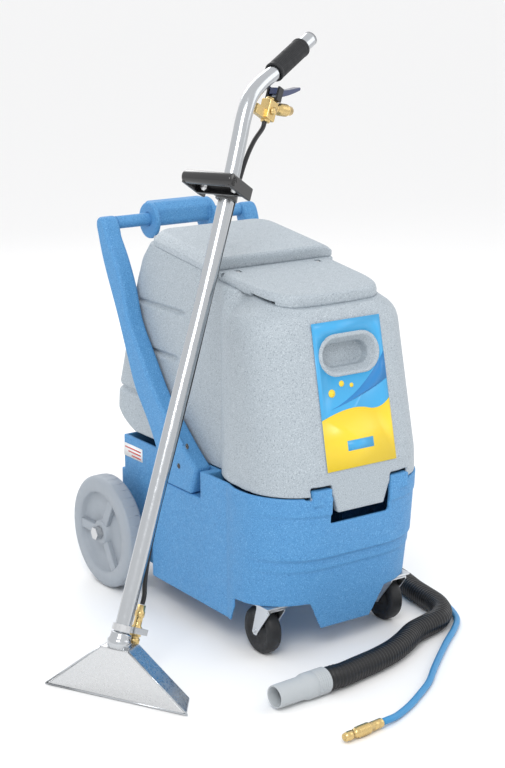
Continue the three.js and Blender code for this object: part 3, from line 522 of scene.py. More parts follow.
def base_skin():
    shell = loft("base_skin", base_rings(0, [50, 85, 120, 187, 191, 213, 218, 260, 309, 312, 350]), BLUE)
    inside = loft("inside", base_rings(9, [122, 200, 270, 360]), BLUE)
    under = loft("under", base_rings(6, [20, 70, 113.8]), BLUE)
    combine(inside, "DIFFERENCE", [
        block("no_tail_floor", (-300, 300), (92, 400), (0, 160), BLUE),
        block("no_tail_top", (-300, 300), (272, 400), (249, 400), BLUE),
        block("no_left_pod", (-300, -152), (-118, 400), (0, 400), BLUE),
        block("no_right_pod", (152, 300), (-118, 400), (0, 400), BLUE),
    ])
    combine(shell, "DIFFERENCE", [block("skirt", (-300, 300), (-230, 400), (0, 60), BLUE)])
    tools = [inside, under, block("under_tail", (-154, 154), (100, 284), (0, 152), BLUE)]
    tools.append(block("tail_top", (-200, 200), (99, 400), (TAIL["top"], 400), BLUE))
    tools.append(block("tail_step", (-200, 200), (278, 400), (255, 400), BLUE))
    tools.append(block("tab_way", (-72, 72), (-420, -366), (290, 400), BLUE))
    tools.append(block("low_rim", (-130, 130), (-420, -366), (346, 400), BLUE))
    for s in (-1, 1):
        front = [(s * 62, 20), (s * 62, 49), (s * 95, 114), (s * 260, 114), (s * 260, 20)]
        tools.append(prism("front_cut", front, "y", -420, -226, BLUE))
        flank = [(-209, 20), (-209, 60), (-235, 114), (-420, 114), (-420, 20)]
        tools.append(prism("side_cut", flank, "x", *sorted((s * 130, s * 260)), BLUE))
        tools.append(block("arm_pocket", sorted((s * 161, s * 260)), (-96, 108), (291, 400), BLUE))
        tools.append(block("pod", sorted((s * 158, s * 192)), (-188, 95), (0, 284), BLUE))
    combine(shell, "DIFFERENCE", tools)
    lugs = [block("lug", sorted((s * 74, s * 118)), (-386, -366), (334, 365), BLUE) for s in (-1, 1)]
    combine(shell, "UNION", lugs)
    return soften(shell, 2.6, 3)


REAR_FACE = [
    (352, 262), (359, 284), (366, 300), (378, 321), (392, 333), (440, 328), (505, 304), (553, 288),
    (655, 248), (700, 231), (750, 206), (775, 182), (800, 160),
]
SHOULDER = [(665, 0), (682, 5), (694, 14), (704, 28), (716, 44), (740, 60)]
GROOVES = [(443, 60), (553, 47), (655, 15)]


def tank_ring(z, inset=0):
    plan = fronted(TANK["front"], TANK["half"], TANK["corner"], TANK["crease"], TANK["side"], inset)
    s, back, r = TANK["side"] - inset, TANK_BACK - inset, 48 - inset
    flank = [(s, TANK["crease"] + (back - r - TANK["crease"]) * k / 24) for k in range(1, 24)]
    turn = arc(s - r, back - r, r, 0, 90, 12)
    rear = flank + turn + [(s * 0.6 * k / 4, back) for k in range(3, 0, -1)]
    plan += rear + [(0, back)] + [(-x, y) for x, y in reversed(rear)]
    groove = 0.0
    start = 0.0
    for at, begins in GROOVES:
        depth = max(0.0, 1 - abs(z - at) / 6)
        if depth:
            groove, start = 8 * min(depth * 1.6, 1), begins
    ring = []
    for x, y in plan:
        if y > TANK["crease"]:
            span = (between(REAR_FACE, z) - TANK["crease"]) / (TANK_BACK - TANK["crease"])
            y = TANK["crease"] + (y - TANK["crease"]) * span
            if groove and y > start:
                pinch = groove * min((y - start) / 14, 1)
                x -= math.copysign(min(pinch, abs(x)), x)
                y -= pinch * max(0.0, (y - 150) / 150)
        else:
            leaning = 0.207 * max(z - 400, 0) + 0.3 * between(SHOULDER, z)
            deep = TANK["crease"] - TANK["front"]
            fade = min((TANK["crease"] - y) / 60, 1)
            pull = (0.047 * (z - TANK["bottom"]) + between(SHOULDER, z)) * fade
            x *= 1 - pull / TANK["half"]
            y = TANK["crease"] + (y - TANK["crease"]) * (deep - leaning) / deep
        ring.append((x, y, z))
    return ring


REAR_LID = {"half": 160, "front": -74, "back": 160, "low": 757, "slope": 0.132, "thick": 27,
            "rod": (148, 12), "ear": 125}
FRONT_LID = {"half": 142, "front": -292, "back": -82, "low": 712, "slope": 0.15, "thick": 24,
             "rod": (-93, 10.5), "ear": 100}


def seat(lid, y):
    return lid["low"] + lid["slope"] * (y - lid["front"])


GRIP = {"z": 618, "y": -338, "lean": math.atan(0.207)}


def on_front(piece):
    """Lays a piece made round the origin on the leaning front face, at the hand hold."""
    turn = Matrix.Rotation(-GRIP["lean"], 4, "X")
    base = LAYOUT
    place = Matrix.Translation(metres((0, GRIP["y"], GRIP["z"]))) @ turn @ Matrix.Translation(-base)
    piece.data.transform(place)
    return piece


def stadium(half_width, half_height, steps=14):
    run = half_width - half_height
    return arc(run, 0, half_height, -90, 90, steps) + arc(-run, 0, half_height, 90, 270, steps)


def dish(name, outer, inner, near, far, material):
    rings = [[(x, y, z) for x, z in stadium(*size)] for y, size in ((near, outer), (far, inner))]
    return on_front(loft(name, rings, material))


def tank_skin():
    levels = sorted({*range(352, 800, 8), 800, *(z + d for z, _ in GROOVES for d in (-5, -3, -1, 1, 3, 5))})
    shell = loft("tank_skin", [tank_ring(z) for z in levels], GREY)
    above = [
        (-420, seat(FRONT_LID, -420)), (-78, seat(FRONT_LID, -78)), (-78, seat(REAR_LID, -78)),
        (166, seat(REAR_LID, 166)), (420, seat(REAR_LID, 166) - 60), (420, 900), (-420, 900),
    ]
    rooms = [tank_ring(z, 7) for z in (361, 392, 440, 553, 655, 690, 702)]
    recovery = loft("recovery", rooms, GREY)
    combine(recovery, "DIFFERENCE", [block("front_off", (-300, 300), (-500, -60), (300, 800), GREY)])
    solution = loft("solution", rooms, GREY)
    combine(solution, "DIFFERENCE", [block("rear_off", (-300, 300), (-68, 400), (300, 800), GREY)])
    tools = [prism("above", above, "x", -300, 300, GREY), recovery, solution]
    tools.append(block("rear_mouth", (-118, 118), (-48, 128), (680, 900), GREY))
    tools.append(block("front_mouth", (-88, 88), (-258, -100), (680, 900), GREY))
    for s in (-1, 1):
        tools.append(block("lug_room", sorted((s * 72.5, s * 120)), (-400, -353), (340, 371), GREY))
    combine(shell, "DIFFERENCE", tools)
    tab = [(-71, 380), (-71, 352), (-57, 311), (57, 311), (71, 352), (71, 380)]
    wall = dish("wall", (76, 44), (66, 34), 4, 41, GREY)
    rim = dish("rim", (76, 43), (73, 40), 3, -4.5, GREY)
    combine(shell, "UNION", [prism("tab", tab, "y", -383, -367, GREY), wall, rim])
    combine(shell, "DIFFERENCE", [
        dish("hold_dish", (70, 37), (57, 25), -8, 12, GREY),
        dish("hold_slot", (56, 24), (55, 23), 6, 34, GREY),
    ])
    return soften(shell, 2.4, 3)


show(base_skin(), "base", "base_blue", "base_shell")
show(tank_skin(), "tank", "tank_grey", "tank_shell")

# ------------------------------------------------------------------ lids
def lid_place(piece, lid):
    """From level, with its front edge on its low corner, to the slope of its seat."""
    corner = metres((0, lid["front"], 0))
    tilt = Matrix.Rotation(math.atan(lid["slope"]), 4, "X")
    lift = Vector((0, 0, lid["low"] / 1000))
    piece.data.transform(Matrix.Translation(corner + lift) @ tilt @ Matrix.Translation(-corner))
    return piece


def lid_skin(name, lid, plan, plug, fade, slant):
    """A slab with a straight rim and a crowned top, hollowed under its rim, with a plug for the mouth."""
    middle = (lid["front"] + lid["back"]) / 2
    half, thick = lid["half"], lid["thick"]

    def ring(z, k):
        made = []
        for x, y in plan:
            drop = 1 - fade * (y - lid["front"]) / (lid["back"] - lid["front"])
            narrow = slant / half * max(0, (z - 0.45) / 0.55)
            made.append((x * (k - narrow), middle + (y - middle) * k, z * thick * drop))
        return made

    steps = [(0, 1), (0.35, 1), (0.45, 1), (0.72, 1), (0.86, 0.993), (0.95, 0.982), (1.0, 0.962)]
    slab = loft(name, [ring(z, k) for z, k in steps], GREY)
    hollow_rings = [[(x * 0.94, middle - 6 + (y - middle) * 0.85, z) for x, y in plan] for z in (-3, 6)]
    combine(slab, "DIFFERENCE", [loft("hollow", hollow_rings, GREY)])
    combine(slab, "UNION", [block("plug", *plug, (-14, 7), GREY)])
    along, up = lid["rod"]
    cuts = []
    for s in (-1, 1):
        ear = s * lid["ear"]
        cuts.append(block("notch", (ear - 5.6, ear + 5.6), (along - 11, along + 30), (-20, up + 8), GREY))
    back = lid["back"]
    chamfer = [(along, -20), (back + 20, -20), (back + 20, up + 20), (back, up), (along, -0.2)]
    cuts.append(prism("chamfer", chamfer, "x", -200, 200, GREY))
    cuts.append(turned("bore", [(4.4, -200), (4.4, 200)], GREY, (0, along, up), (1, 0, 0), 16, closed=False))
    return lid_place(soften(combine(slab, "DIFFERENCE", cuts), 1.8, 3), lid)


def rear_lid():
    half, front, back, r = REAR_LID["half"], REAR_LID["front"], REAR_LID["back"], 38
    right = [(half - 8, front), (half - 2.3, front + 2.3), (half, front + 8)]
    right += arc(half - r, back - r, r, 0, 90, 10)
    plan = right + [(-x, y) for x, y in reversed(right)]
    return lid_skin("rear_lid_skin", REAR_LID, plan, ((-112, 112), (-42, 122)), 0, 20)


def front_lid():
    half, front, back = FRONT_LID["half"], FRONT_LID["front"], FRONT_LID["back"]
    right = bend((0, front - 7), (60, front - 7), (96, front), 6)
    right += bend((96, front), (half - 12, front + 14), (half - 6, front + 78), 12)[1:]
    right += [(half, back)]
    plan = right + [(-x, y) for x, y in reversed(right[1:])]
    lid = lid_skin("front_lid_skin", FRONT_LID, plan, ((-82, 82), (-252, -108)), 0.3, 6)
    scoop = prism("scoop", [(-150, -262), (-118, -262), (-128, -196), (-150, -186)], "z", -20, 7, GREY)
    return combine(lid, "DIFFERENCE", [lid_place(scoop, FRONT_LID)])


show(rear_lid(), "rear_lid", "tank_grey", "rear_lid")
show(front_lid(), "front_lid", "tank_grey", "front_lid")

# ------------------------------------------------------------------ handle frame
ARM_FRONT = [
    (-88, 352), (-50, 378), (14, 430), (66, 474), (126, 552), (172, 616), (198, 690), (226, 744), (256, 788),
]
ARM_REAR = [
    (303, 806), (278, 735), (224, 626), (188, 546), (155, 476), (104, 410), (66, 350), (40, 292),
]


def spline(points, per_span=6):
    return [(p.x, p.y) for p in curve_points([(a, b, 0) for a, b in points], per_span)]


def handle_arm(name, s):
    """A moulded arm with full round edges, from the base's side up to the crossbar."""
    outline = [(-66, 292)] + spline(ARM_FRONT) + bend((256, 788), (266, 829), (284, 829), 8)[1:]
    outline += bend((284, 829), (306, 829), (303, 806), 8)[1:] + spline(ARM_REAR)[1:]
    arm = prism(name, outline, "x", *sorted((s * 162, s * 202)), BLUE)
    rounded(arm, 11, segments=4, angle=60)
    rib = prism("rib", [(-40, 392), (20, 446), (60, 446), (30, 392)], "x", *sorted((s * 198, s * 201)), BLUE)
    combine(arm, "UNION", [rib])
    return soften(arm, 2.2, 3)


for side, s in (("left", -1), ("right", 1)):
    show(handle_arm("handle_arm_skin_" + side, s), "base", "base_blue", "handle_arm_" + side)

BAR_Y, BAR_Z = 286, 813


def screw(name, centre, direction, r, material):
    """A pan-head screw with a cross recess."""
    profile = [(0.01, 2.2), (r * 0.6, 2.0), (r, 0.8), (r, 0), (0.01, 0)]
    head = turned(name, profile, material, centre, direction, 24)
    across = Vector(direction).normalized()
    side = across.orthogonal().normalized()
    other = across.cross(side)
    for a, b in ((side, other), (other, side)):
        corners = [a * i * r * 0.55 + b * j * r * 0.12 + across * k for k in (1.2, 4) for i, j in
                   ((-1, -1), (1, -1), (1, 1), (-1, 1))]
        slot = mesh_piece("slot", [Vector(centre) + c for c in corners],
                          [(0, 1, 2, 3), (4, 5, 6, 7), (0, 1, 5, 4),
                           (1, 2, 6, 5), (2, 3, 7, 6), (3, 0, 4, 7)],
                          material, smooth=False)
        combine(head, "DIFFERENCE", [slot])
    return head


for side, s in (("left", -1), ("right", 1)):
    for i, (y, z) in enumerate([(-56, 394), (-22, 343)]):
        head = screw(f"arm_screw_{side}_{i}", (s * 201.4, y, z), (s, 0, 0), 6, ENAMEL)
        show(head, "base", "black_enamel")


def crossbar():
    path = [(x, BAR_Y, BAR_Z) for x in (-161.7, -161, 161, 161.7)]
    return swept("crossbar_skin", path, [13.6, 14, 14, 13.6], BLUE, sides=48)


def control_housing():
    outline = [(270, 797), (322, 797), (322, 842), (310, 850), (278, 850), (262, 836), (262, 805)]
    body = prism("control_housing_skin", outline, "x", -70, 70, BLUE)
    rounded(body, 5, segments=3)
    discs = []
    for s in (-1, 1):
        end = [(37, s * 69), (40, s * 71), (40, s * 78), (37, s * 80), (0.01, s * 80), (0.01, s * 69)]
        discs.append(turned("disc", end, BLUE, (0, BAR_Y, BAR_Z - 3), (1, 0, 0), 64))
    combine(body, "UNION", discs)
    tools = [block("pocket", (x - 12, x + 12), (310, 327), (808, 840), BLUE) for x in (-30, 30)]
    path = [(-120, BAR_Y, BAR_Z), (120, BAR_Y, BAR_Z)]
    tools.append(swept("bar_way", path, [14.3, 14.3], BLUE, sides=48))
    combine(body, "DIFFERENCE", tools)
    return soften(body, 1.6, 2)


show(crossbar(), "base", "base_blue", "handle_crossbar")
show(control_housing(), "base", "base_blue", "control_housing")


# ------------------------------------------------------------------ rear wheels and casters
def rear_wheel(name, s):
    """A moulded wheel: ribbed tread, dished face with three spokes and a raised hub."""
    centre = (s * 220, 250, 127)
    h = 23
    profile = [
        (8.4, -h - 1), (8.4, h + 1), (24, h + 1), (27, h - 2), (30, 9), (84, 8), (89, 12), (91, h - 3),
        (94, h), (118, h), (122, h - 2), (126, h - 6), (127, h - 9),
        (127, 9 - h), (126, 6 - h), (122, 2 - h), (118, -h),
        (94, -h), (91, 3 - h), (89, -12), (84, -8), (30, -9), (27, 2 - h), (24, -h - 1),
    ]
    wheel = turned(name, profile, WHEEL_GREY, centre, (1, 0, 0), 96)
    spokes = []
    for i in range(3):
        spoke = block("spoke", sorted((s * 6, s * (h - 3))), (-11, 11), (22, 92), WHEEL_GREY)
        rounded(spoke, 3, segments=2)
        turn = Matrix.Rotation(2 * math.pi * i / 3 + 0.5, 4, "X")
        spoke.data.transform(Matrix.Translation(metres(centre)) @ turn @ Matrix.Translation(-LAYOUT))
        spokes.append(spoke)
    return joined(name + "_skin", [wheel, *spokes])


for side, s in (("left", -1), ("right", 1)):
    body = "rear_wheel_" + side
    show(rear_wheel(body + "_form", s), body, "wheel_grey", body)
    ribs = []
    for i in range(36):
        turn = 2 * math.pi * i / 36
        ribs.append(swept("rib", [
            (s * 220 + x, 250 + 126.6 * math.cos(turn), 127 + 126.6 * math.sin(turn)) for x in (-13, 13)
        ], [0.9, 0.9], WHEEL_GREY, sides=6))
    show(joined("tread_" + side, ribs), body, "wheel_grey")


def caster_wheel(name, s):
    h = 16
    profile = [
        (4.4, -h), (4.4, h), (13, h), (15, h - 1), (18, h - 5), (30, h - 5), (33, h - 2), (36, h - 1),
        (44, h - 1), (48, h - 4), (50, h - 9),
        (50, 9 - h), (48, 4 - h), (44, 1 - h), (36, 1 - h), (33, 2 - h), (30, 5 - h),
        (18, 5 - h), (15, 1 - h), (13, -h),
    ]
    return turned(name, profile, RUBBER, (s * 157, -263, 50), (1, 0, 0), 72)


def dress(node, material, width=0.0):
    """A CAD node whose shape is right keeps it, with its own finish and a fine rounded edge."""
    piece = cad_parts[node]
    for place in piece.material_slots:
        place.material = material
    if width:
        edge = piece.modifiers.new("edge", "BEVEL")
        edge.width = width / 1000
        edge.segments = 2
        edge.limit_method = "ANGLE"
        edge.angle_limit = math.radians(40)
    return piece


for side, s in (("left", -1), ("right", 1)):
    show(caster_wheel("caster_tyre_" + side, s), "caster_wheel_" + side, "rubber", "caster_wheel_" + side)
    dress("caster_fork_" + side, ZINC, 0.6)
    dress("caster_plate_" + side, ZINC, 0.5)
    dress("arm_studs_" + side, STEEL)
    dress("wheel_nut_" + side, STEEL, 1.0)
    dress("hinge_pin_" + side, STEEL, 0.5)
for node in ("rear_axle", "rear_lid_rod", "front_lid_rod", "jet_bracket"):
    dress(node, STEEL, 0.4)
for node in ("pump_switch", "vacuum_switch", "vacuum_motor_front", "vacuum_motor_rear", "solution_pump",
             "suction_port", "power_inlet", "float_standpipe", "pickup_filter", "drain_valve"):
    dress(node, BLACK, 0.6)
dress("solution_outlet", BRASS, 0.5)

# ------------------------------------------------------------------ label
def label_sheet(name, outline, lift, material):
    """A flat patch of the label's film, in the front face's own plane."""
    rings = [[(x, y, z) for x, z in outline] for y in (-0.9 - lift, -1.6 - lift)]
    return on_front(loft(name, rings, material))


def front_label():
    """Generic panels: a deep blue band, a bright field, a yellow foot with a sloping edge, three dots."""
    hold = [(x, z) for x, z in stadium(72, 40)]
    field = label_sheet("label_field", [(-86, -224), (86, -224), (84, 68), (-84, 68)], 0, LABEL_BLUE)
    foot_line = bend((-85.2, -122), (-10, -98), (30, -112), 8)
    foot_line += bend((30, -112), (60, -122), (85.2, -100), 8)[1:]
    foot = label_sheet("label_foot", [(-86, -224), (86, -224), *reversed(foot_line)], 0.4, LABEL_YELLOW)
    sweep = bend((-60, -104), (20, -84), (84.7, -6), 8) + bend((84.9, -60), (30, -86), (-60, -104), 8)[:-1]
    band = label_sheet("label_band", sweep, 0.3, LABEL_DEEP)
    plate = label_sheet("label_plate", [(-30, -190), (34, -190), (34, -170), (-30, -170)], 0.7, LABEL_BLUE)
    made = [(field, "label"), (foot, "label"), (band, "label"), (plate, "label")]
    window = on_front(loft("window", [[(x, y, z) for x, z in hold] for y in (-6, 4)], GREY))
    combine(field, "DIFFERENCE", [window])
    for i, (x, z, r) in enumerate([(-54, -72, 8), (-28, -56, 6), (-4, -62, 4.5)]):
        drop = label_sheet(f"label_drop_{i}", arc(x, z, r, 0, 345, 23), 0.5, LABEL_YELLOW)
        made.append((drop, "label"))
    return made


for i, (piece, finish) in enumerate(front_label()):
    nodes = ("front_label",) if i == 0 else ()
    show(piece, "tank", finish, *nodes)


def side_sticker():
    """A plain white sticker with three rules on the tail's side."""
    paper = block("sticker_paper", (-160.9, -160.1), (196, 276), (288, 318), LABEL_WHITE)
    rules = [
        block(f"rule_{i}", (-161.3, -160.8), (202, 270 - 14 * i), (308 - 8 * i, 311 - 8 * i), LABEL_RED)
        for i in range(3)
    ]
    return [paper, joined("sticker_rules", rules)]


for piece in side_sticker():
    show(piece, "base", "label")

# ------------------------------------------------------------------ wand
WAND_FOOT = Vector((-501, -280, 115))
WAND_AZIMUTH = math.radians(22.5)
WAND_TILT = math.radians(25.8)
TUBE_R = 16


def wand_axes():
    across = Vector((math.sin(WAND_AZIMUTH), -math.cos(WAND_AZIMUTH), 0))
    lean = Vector((math.cos(WAND_AZIMUTH), math.sin(WAND_AZIMUTH), 0))
    rear = lean * math.cos(WAND_TILT) - Vector((0, 0, 1)) * math.sin(WAND_TILT)
    up = lean * math.sin(WAND_TILT) + Vector((0, 0, 1)) * math.cos(WAND_TILT)
    return across, rear, up


ACROSS, REAR, UP = wand_axes()


def to_wand(piece):
    """Carries a piece made round the layout's origin into the wand's frame."""
    basis = Matrix((ACROSS, REAR, UP)).transposed().to_4x4()
    piece.data.transform(Matrix.Translation(metres(WAND_FOOT)) @ basis @ Matrix.Translation(-LAYOUT))
    return piece


TUBE_LINE = [
    (0, 0, 4), (0, 0, 200), (0, -0.5, 500), (0, -0.5, 700),
    (0, -7.5, 940), (0, -12, 1010), (0, -14.5, 1050), (0, -9, 1095), (0, 12, 1129), (0, 48.5, 1168),
    (0, 100, 1227.5), (0, 152, 1287),
]
END_FROM, END_TO = Vector((0, 48.5, 1168)), Vector((0, 152, 1287))
END_WAY = (END_TO - END_FROM).normalized()


def wand_tube():
    line = [Vector(p) for p in curve_points(TUBE_LINE, 10)]
    outer = swept("wand_tube_skin", line, [TUBE_R] * len(line), CHROME, sides=48)
    mouth = [END_TO - END_WAY * 70, END_TO + END_WAY * 5]
    combine(outer, "DIFFERENCE", [swept("mouth", mouth, [14.5, 14.5], CHROME, sides=48)])
    return to_wand(outer)


def wand_grip():
    """A ribbed rubber sleeve with a collar at each end."""
    profile = [(16.6, 4), (20.2, 4), (21, 5.5), (21, 10), (20, 11.5)]
    for i in range(24):
        at = 13 + i * 4
        profile += [(19.6, at), (20.4, at + 1), (20.4, at + 2.4), (19.6, at + 3.2)]
    profile += [(20, 111), (21, 112), (21, 117), (20.2, 118), (16.6, 118)]
    return to_wand(turned("wand_grip_skin", profile, RUBBER, END_FROM, END_WAY, 48))


BAR = (-80, 900)
CLAMP = (-6.2, 894)


def front_handle():
    bar_y, bar_z = BAR
    z = CLAMP[1]
    bar = swept("bar", [(x, bar_y, bar_z) for x in (-57, -55.5, -54, 54, 55.5, 57)],
                [11.5, 13, 13.5, 13.5, 13, 11.5], ENAMEL, sides=40)
    outline = [(bar_y - 4, bar_z + 12), (bar_y + 8, bar_z + 12), (-6, z + 14), (-6, z - 12), (-26, z - 12),
               (bar_y - 8, bar_z - 14)]
    cheeks = [rounded(prism("cheek", outline, "x", x, x + 7, ENAMEL), 2.2) for x in (-57, 50)]
    plate = rounded(block("plate", (-54, 54), (-38, -31), (z - 12, z + 13), ENAMEL), 1.2)
    return to_wand(joined("front_handle_skin", [bar, *cheeks, plate]))


def handle_clamp():
    y, z = CLAMP
    ring = turned("ring", [(16.8, -14), (21, -14), (22, -13), (22, 11), (21, 12), (16.8, 12)], ENAMEL,
                  (0, y, z), (0, 0, 1), 56)
    ears = rounded(block("ears", (-16, 16), (-30.6, -20), (z - 12, z + 12), ENAMEL), 1.5)
    return to_wand(joined("handle_clamp_skin", [ring, ears]))


def clamp_bolts():
    heads = []
    for x in (-36, 36):
        profile = [(0.01, 0), (8, 0), (8, 2), (5.6, 2.4), (5.6, 6.4), (0.01, 6.4)]
        heads.append(turned("head", profile, STEEL, (x, -38, CLAMP[1]), (0, -1, 0), 6))
    return to_wand(joined("clamp_bolts", heads))


show(wand_tube(), "wand", "chrome", "wand_tube")
show(wand_grip(), "wand", "rubber", "wand_grip")
show(front_handle(), "wand", "black_enamel", "front_handle")
show(handle_clamp(), "wand", "black_enamel", "handle_clamp")
show(clamp_bolts(), "wand", "steel")


# ------------------------------------------------------------------ wand valve, line and jet
VALVE = (62, 1094)


def valve():
    """A machined valve: a cross of turned bosses on a squared body."""
    y, z = VALVE
    body = rounded(block("body", (-12, 12), (y - 14, y + 16), (z - 20, z + 22), BRASS), 3)
    boss = turned("boss", [(0.01, -26), (9, -26), (10, -24), (10, 24), (8, 26), (0.01, 26)], BRASS,
                  (0, y, z + 1), (0, 0, 1), 32)
    side = turned("side", [(0.01, -17), (8, -17), (8, 17), (0.01, 17)], BRASS, (0, y + 2, z), (1, 0, 0), 6)
    bridge = block("bridge", (-6, 6), (14, y - 8), (z - 22, z - 2), BRASS)
    return to_wand(joined("valve_skin", [body, boss, side, rounded(bridge, 1)]))


def coupler():
    """A quick coupler with a knurled sleeve."""
    profile = [(0.01, 0), (9, 0), (9, 6), (7.5, 7), (7.5, 10), (9, 11), (9, 14), (12.4, 15.5), (13, 17)]
    for i in range(8):
        profile += [(13, 18 + i * 3), (12.2, 19 + i * 3), (13, 20 + i * 3)]
    profile += [(13, 43), (12, 45), (10, 46), (10, 60), (9, 62), (6, 62), (6, 50), (0.01, 50)]
    start = Vector((0, VALVE[0] + 21.2, VALVE[1] + 12))
    way = Vector((0, math.sin(1.28), math.cos(1.28)))
    return to_wand(turned("coupler_skin", profile, BRASS, start, way, 40))


def trigger():
    y, z = 72, 1138
    shape = [(-8, -7), (6, -9), (24, -1), (40, 8), (60, 21), (78, 34), (77, 38), (75, 40), (55, 29), (36, 19),
             (18, 11), (4, 7), (-8, 7)]
    lever = prism("trigger_skin", [(y + a, z + b) for a, b in shape], "x", -9, 9, TRIGGER_BLUE)
    return to_wand(rounded(lever, 1.8))


LINE_TO_JET = [(0, 60, 1070.5), (0, 60, 1058), (0, 40, 1020), (0, 25, 960), (0, 24, 500), (0, 24, 190),
               (0, 34, 125), (0, 45, 90), (0, 45, 75)]


def solution_line():
    line = curve_points(LINE_TO_JET, 12)
    return to_wand(swept("solution_line_skin", line, [4.8] * len(line), HOSE_BLACK, sides=16))


def spray_jet():
    profile = [(0.01, -8), (6, -8), (7, -6), (7, -2), (12, 0), (12, 9), (10, 10), (10, 13), (12, 14),
               (12, 30),
               (8, 34), (8, 50), (9.5, 51), (9.5, 62), (8, 63), (8, 74), (0.01, 74)]
    return to_wand(turned("spray_jet_skin", profile, BRASS, (0, 45, 0), (0, 0, 1), 36))


show(valve(), "wand", "brass", "valve_body")
show(coupler(), "wand", "brass", "wand_coupler")
show(trigger(), "trigger", "trigger_blue", "trigger_lever")
show(solution_line(), "wand", "hose_black", "solution_line")
show(spray_jet(), "wand", "brass", "spray_jet")
dress("trigger_yoke", BLACK, 0.6)


# ------------------------------------------------------------------ wand head
HEAD = Vector((-520, -288, 0))
HEAD_AZIMUTH = math.radians(28)
FAN_TOP = 104
HEAD_ACROSS = Vector((math.sin(HEAD_AZIMUTH), -math.cos(HEAD_AZIMUTH), 0))
HEAD_LEAN = Vector((math.cos(HEAD_AZIMUTH), math.sin(HEAD_AZIMUTH), 0))


def on_head(x, y, z):
    return HEAD + HEAD_ACROSS * x + HEAD_LEAN * y + Vector((0, 0, z))


def fan(name, inset, foot, top, material):
    """The head's hollow fan: wide and flat at the carpet, narrow at the neck."""
    lower = [
        (-159 + inset, inset), (159 - inset, inset), (126 - inset, 71 - inset), (-126 + inset, 71 - inset),
    ]
    upper = [
        (-31 + inset, 2 + inset), (31 - inset, 2 + inset), (31 - inset, 44 - inset), (-31 + inset, 44 - inset),
    ]
    rings = []
    for z in (foot, top):
        share = z / FAN_TOP
        rings.append([
            on_head(a + (c - a) * share, b + (d - b) * share, z) for (a, b), (c, d) in zip(lower, upper)
        ])
    return loft(name, rings, material)


def wand_head():
    outer = rounded(fan("wand_head_skin", 0, 0, FAN_TOP, HEAD_METAL), 3.5, segments=4, angle=20)
    combine(outer, "DIFFERENCE", [fan("inside", 3, -4, FAN_TOP - 3, HEAD_METAL)])
    return outer


def neck():
    """The neck socket that blends the tube into the fan, with its weld."""
    profile = [(16.4, 0), (16.4, 14), (20, 14), (20.4, 10), (20.8, 4), (22, 1), (24, -2), (20, -18)]
    profile += [(16.4, -18)]
    return to_wand(turned("neck", profile, CHROME, (0, 0, 0), (0, 0, 1), 56))


def head_trim():
    """The folded seam along the lip and the two sloping edges of the front face."""
    corners = [on_head(-159, 0.4, 2.4), on_head(159, 0.4, 2.4)]
    tops = [on_head(-31, 2.4, 103), on_head(31, 2.4, 103)]
    bars = [
        swept("lip", corners, [2.2, 2.2], CHROME, sides=12),
        swept("left_edge", [corners[0], tops[0]], [1.6, 1.6], CHROME, sides=12),
        swept("right_edge", [corners[1], tops[1]], [1.6, 1.6], CHROME, sides=12),
    ]
    return joined("head_trim", bars)


show(wand_head(), "wand", "chrome", "wand_head")
show(neck(), "wand", "chrome")
show(head_trim(), "wand", "chrome")


# ------------------------------------------------------------------ hose ends
def hose_cuff():
    """A soft vinyl cuff: a ribbed socket on the hose, a shoulder, and a plain open nose."""
    profile = [(19.6, 0), (25.2, 0), (26.2, 1.5)]
    for i in range(6):
        profile += [(26.2, 4 + i * 5), (25.2, 5 + i * 5), (25.2, 6.4 + i * 5), (26.2, 7.4 + i * 5)]
    profile += [(26.2, 50), (25.4, 53), (23.4, 59), (23, 62)]
    profile += [(22.6, 120), (22, 123.5), (20.6, 124), (19.6, 122.5)]
    way = Vector((-math.cos(0.062), -math.sin(0.062), 0))
    return turned("hose_cuff_skin", profile, CUFF_GREY, (-173.4, -493.7, 26.5), way, 56)


def hose_plug():
    """A brass quick connector: ferrule, hexagon, knurled sleeve and nose."""
    profile = [(0.01, 0), (8.6, 0), (9, 1), (9, 10), (8.2, 11), (9, 12), (9, 22), (8.2, 23), (9, 24), (9, 31)]
    profile += [(10.6, 33), (11, 34)]
    for i in range(8):
        profile += [(11, 36 + i * 3), (10.2, 37 + i * 3), (11, 38 + i * 3)]
    profile += [(11, 61), (9, 64), (9, 68), (7, 69), (7, 74), (9, 75), (9, 84)]
    profile += [(7.4, 93), (5, 94), (5, 84), (0.01, 84)]
    way = Vector((-math.cos(0.105), -math.sin(0.105), 0))
    return turned("hose_plug_skin", profile, BRASS, (-180.6, -676.9, 11.2), way, 44)


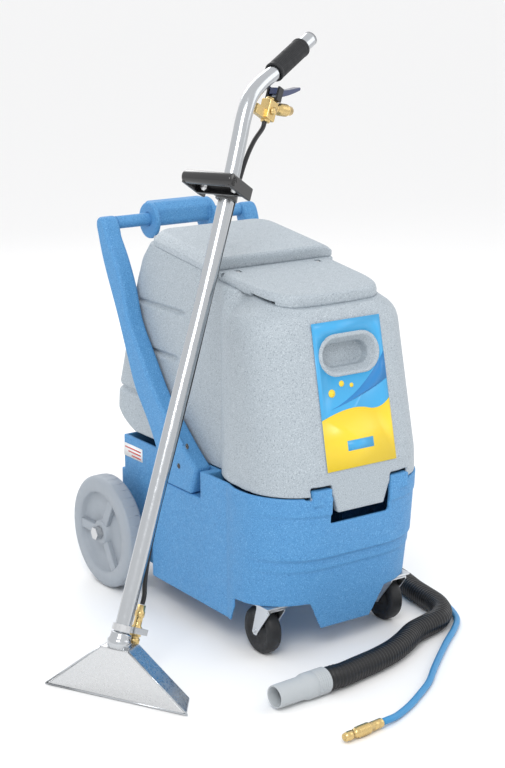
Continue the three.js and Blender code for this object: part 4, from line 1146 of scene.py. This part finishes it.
def hose_tie():
    """A strap drawn round the coil's two turns where they pass each other."""
    x, y = BIG_COIL["x"] + BIG_COIL["r"], BIG_COIL["y"]
    outer = rounded(block("hose_tie_skin", (x - 28, x + 28), (y - 9, y + 9), (5.5, 111.5), BLACK), 2)
    way = block("way", (x - 25.5, x + 25.5), (y - 20, y + 20), (8, 109), BLACK)
    return combine(outer, "DIFFERENCE", [way])


tie = show(hose_tie(), "base", "black_plastic", "hose_tie")
cuff = show(hose_cuff(), "base", "cuff_grey", "hose_cuff")
plug = show(hose_plug(), "base", "brass", "hose_plug")


# ------------------------------------------------------------------ studio
FLOOR_HALF = 150  # metres, far enough that its edge is out of sight
FLOOR_Z = -0.0005


def studio():
    floor_mat, tree, out = shader("floor", (0.92, 0.92, 0.915), 0.7)
    floor_mesh = bpy.data.meshes.new("floor")
    corners = [(a * FLOOR_HALF, b * FLOOR_HALF, FLOOR_Z) for a, b in ((-1, -1), (1, -1), (1, 1), (-1, 1))]
    floor_mesh.from_pydata(corners, [], [(0, 1, 2, 3)])
    floor_mesh.materials.append(floor_mat)
    floor = bpy.data.objects.new("floor", floor_mesh)
    bpy.context.scene.collection.objects.link(floor)
    for name, place, size, power in (
        ("key", (-2.2, -2.6, 3.4), 1.8, 72),
        ("fill", (3.2, -1.6, 2.2), 2.4, 18),
        ("rim", (0.6, 3.0, 2.8), 2.0, 36),
    ):
        data = bpy.data.lights.new(name, "AREA")
        data.size = size
        data.energy = power
        lamp = bpy.data.objects.new(name, data)
        lamp.location = place
        lamp.rotation_mode = "QUATERNION"
        lamp.rotation_quaternion = (Vector((0, 0, 0.5)) - Vector(place)).to_track_quat("-Z", "Y")
        bpy.context.scene.collection.objects.link(lamp)
    world = bpy.data.worlds.new("studio")
    world.use_nodes = True
    world.node_tree.nodes["Background"].inputs["Color"].default_value = (0.99, 0.99, 1.0, 1)
    world.node_tree.nodes["Background"].inputs["Strength"].default_value = 1.0
    bpy.context.scene.world = world
    bpy.context.scene.view_settings.view_transform = "Standard"


studio()
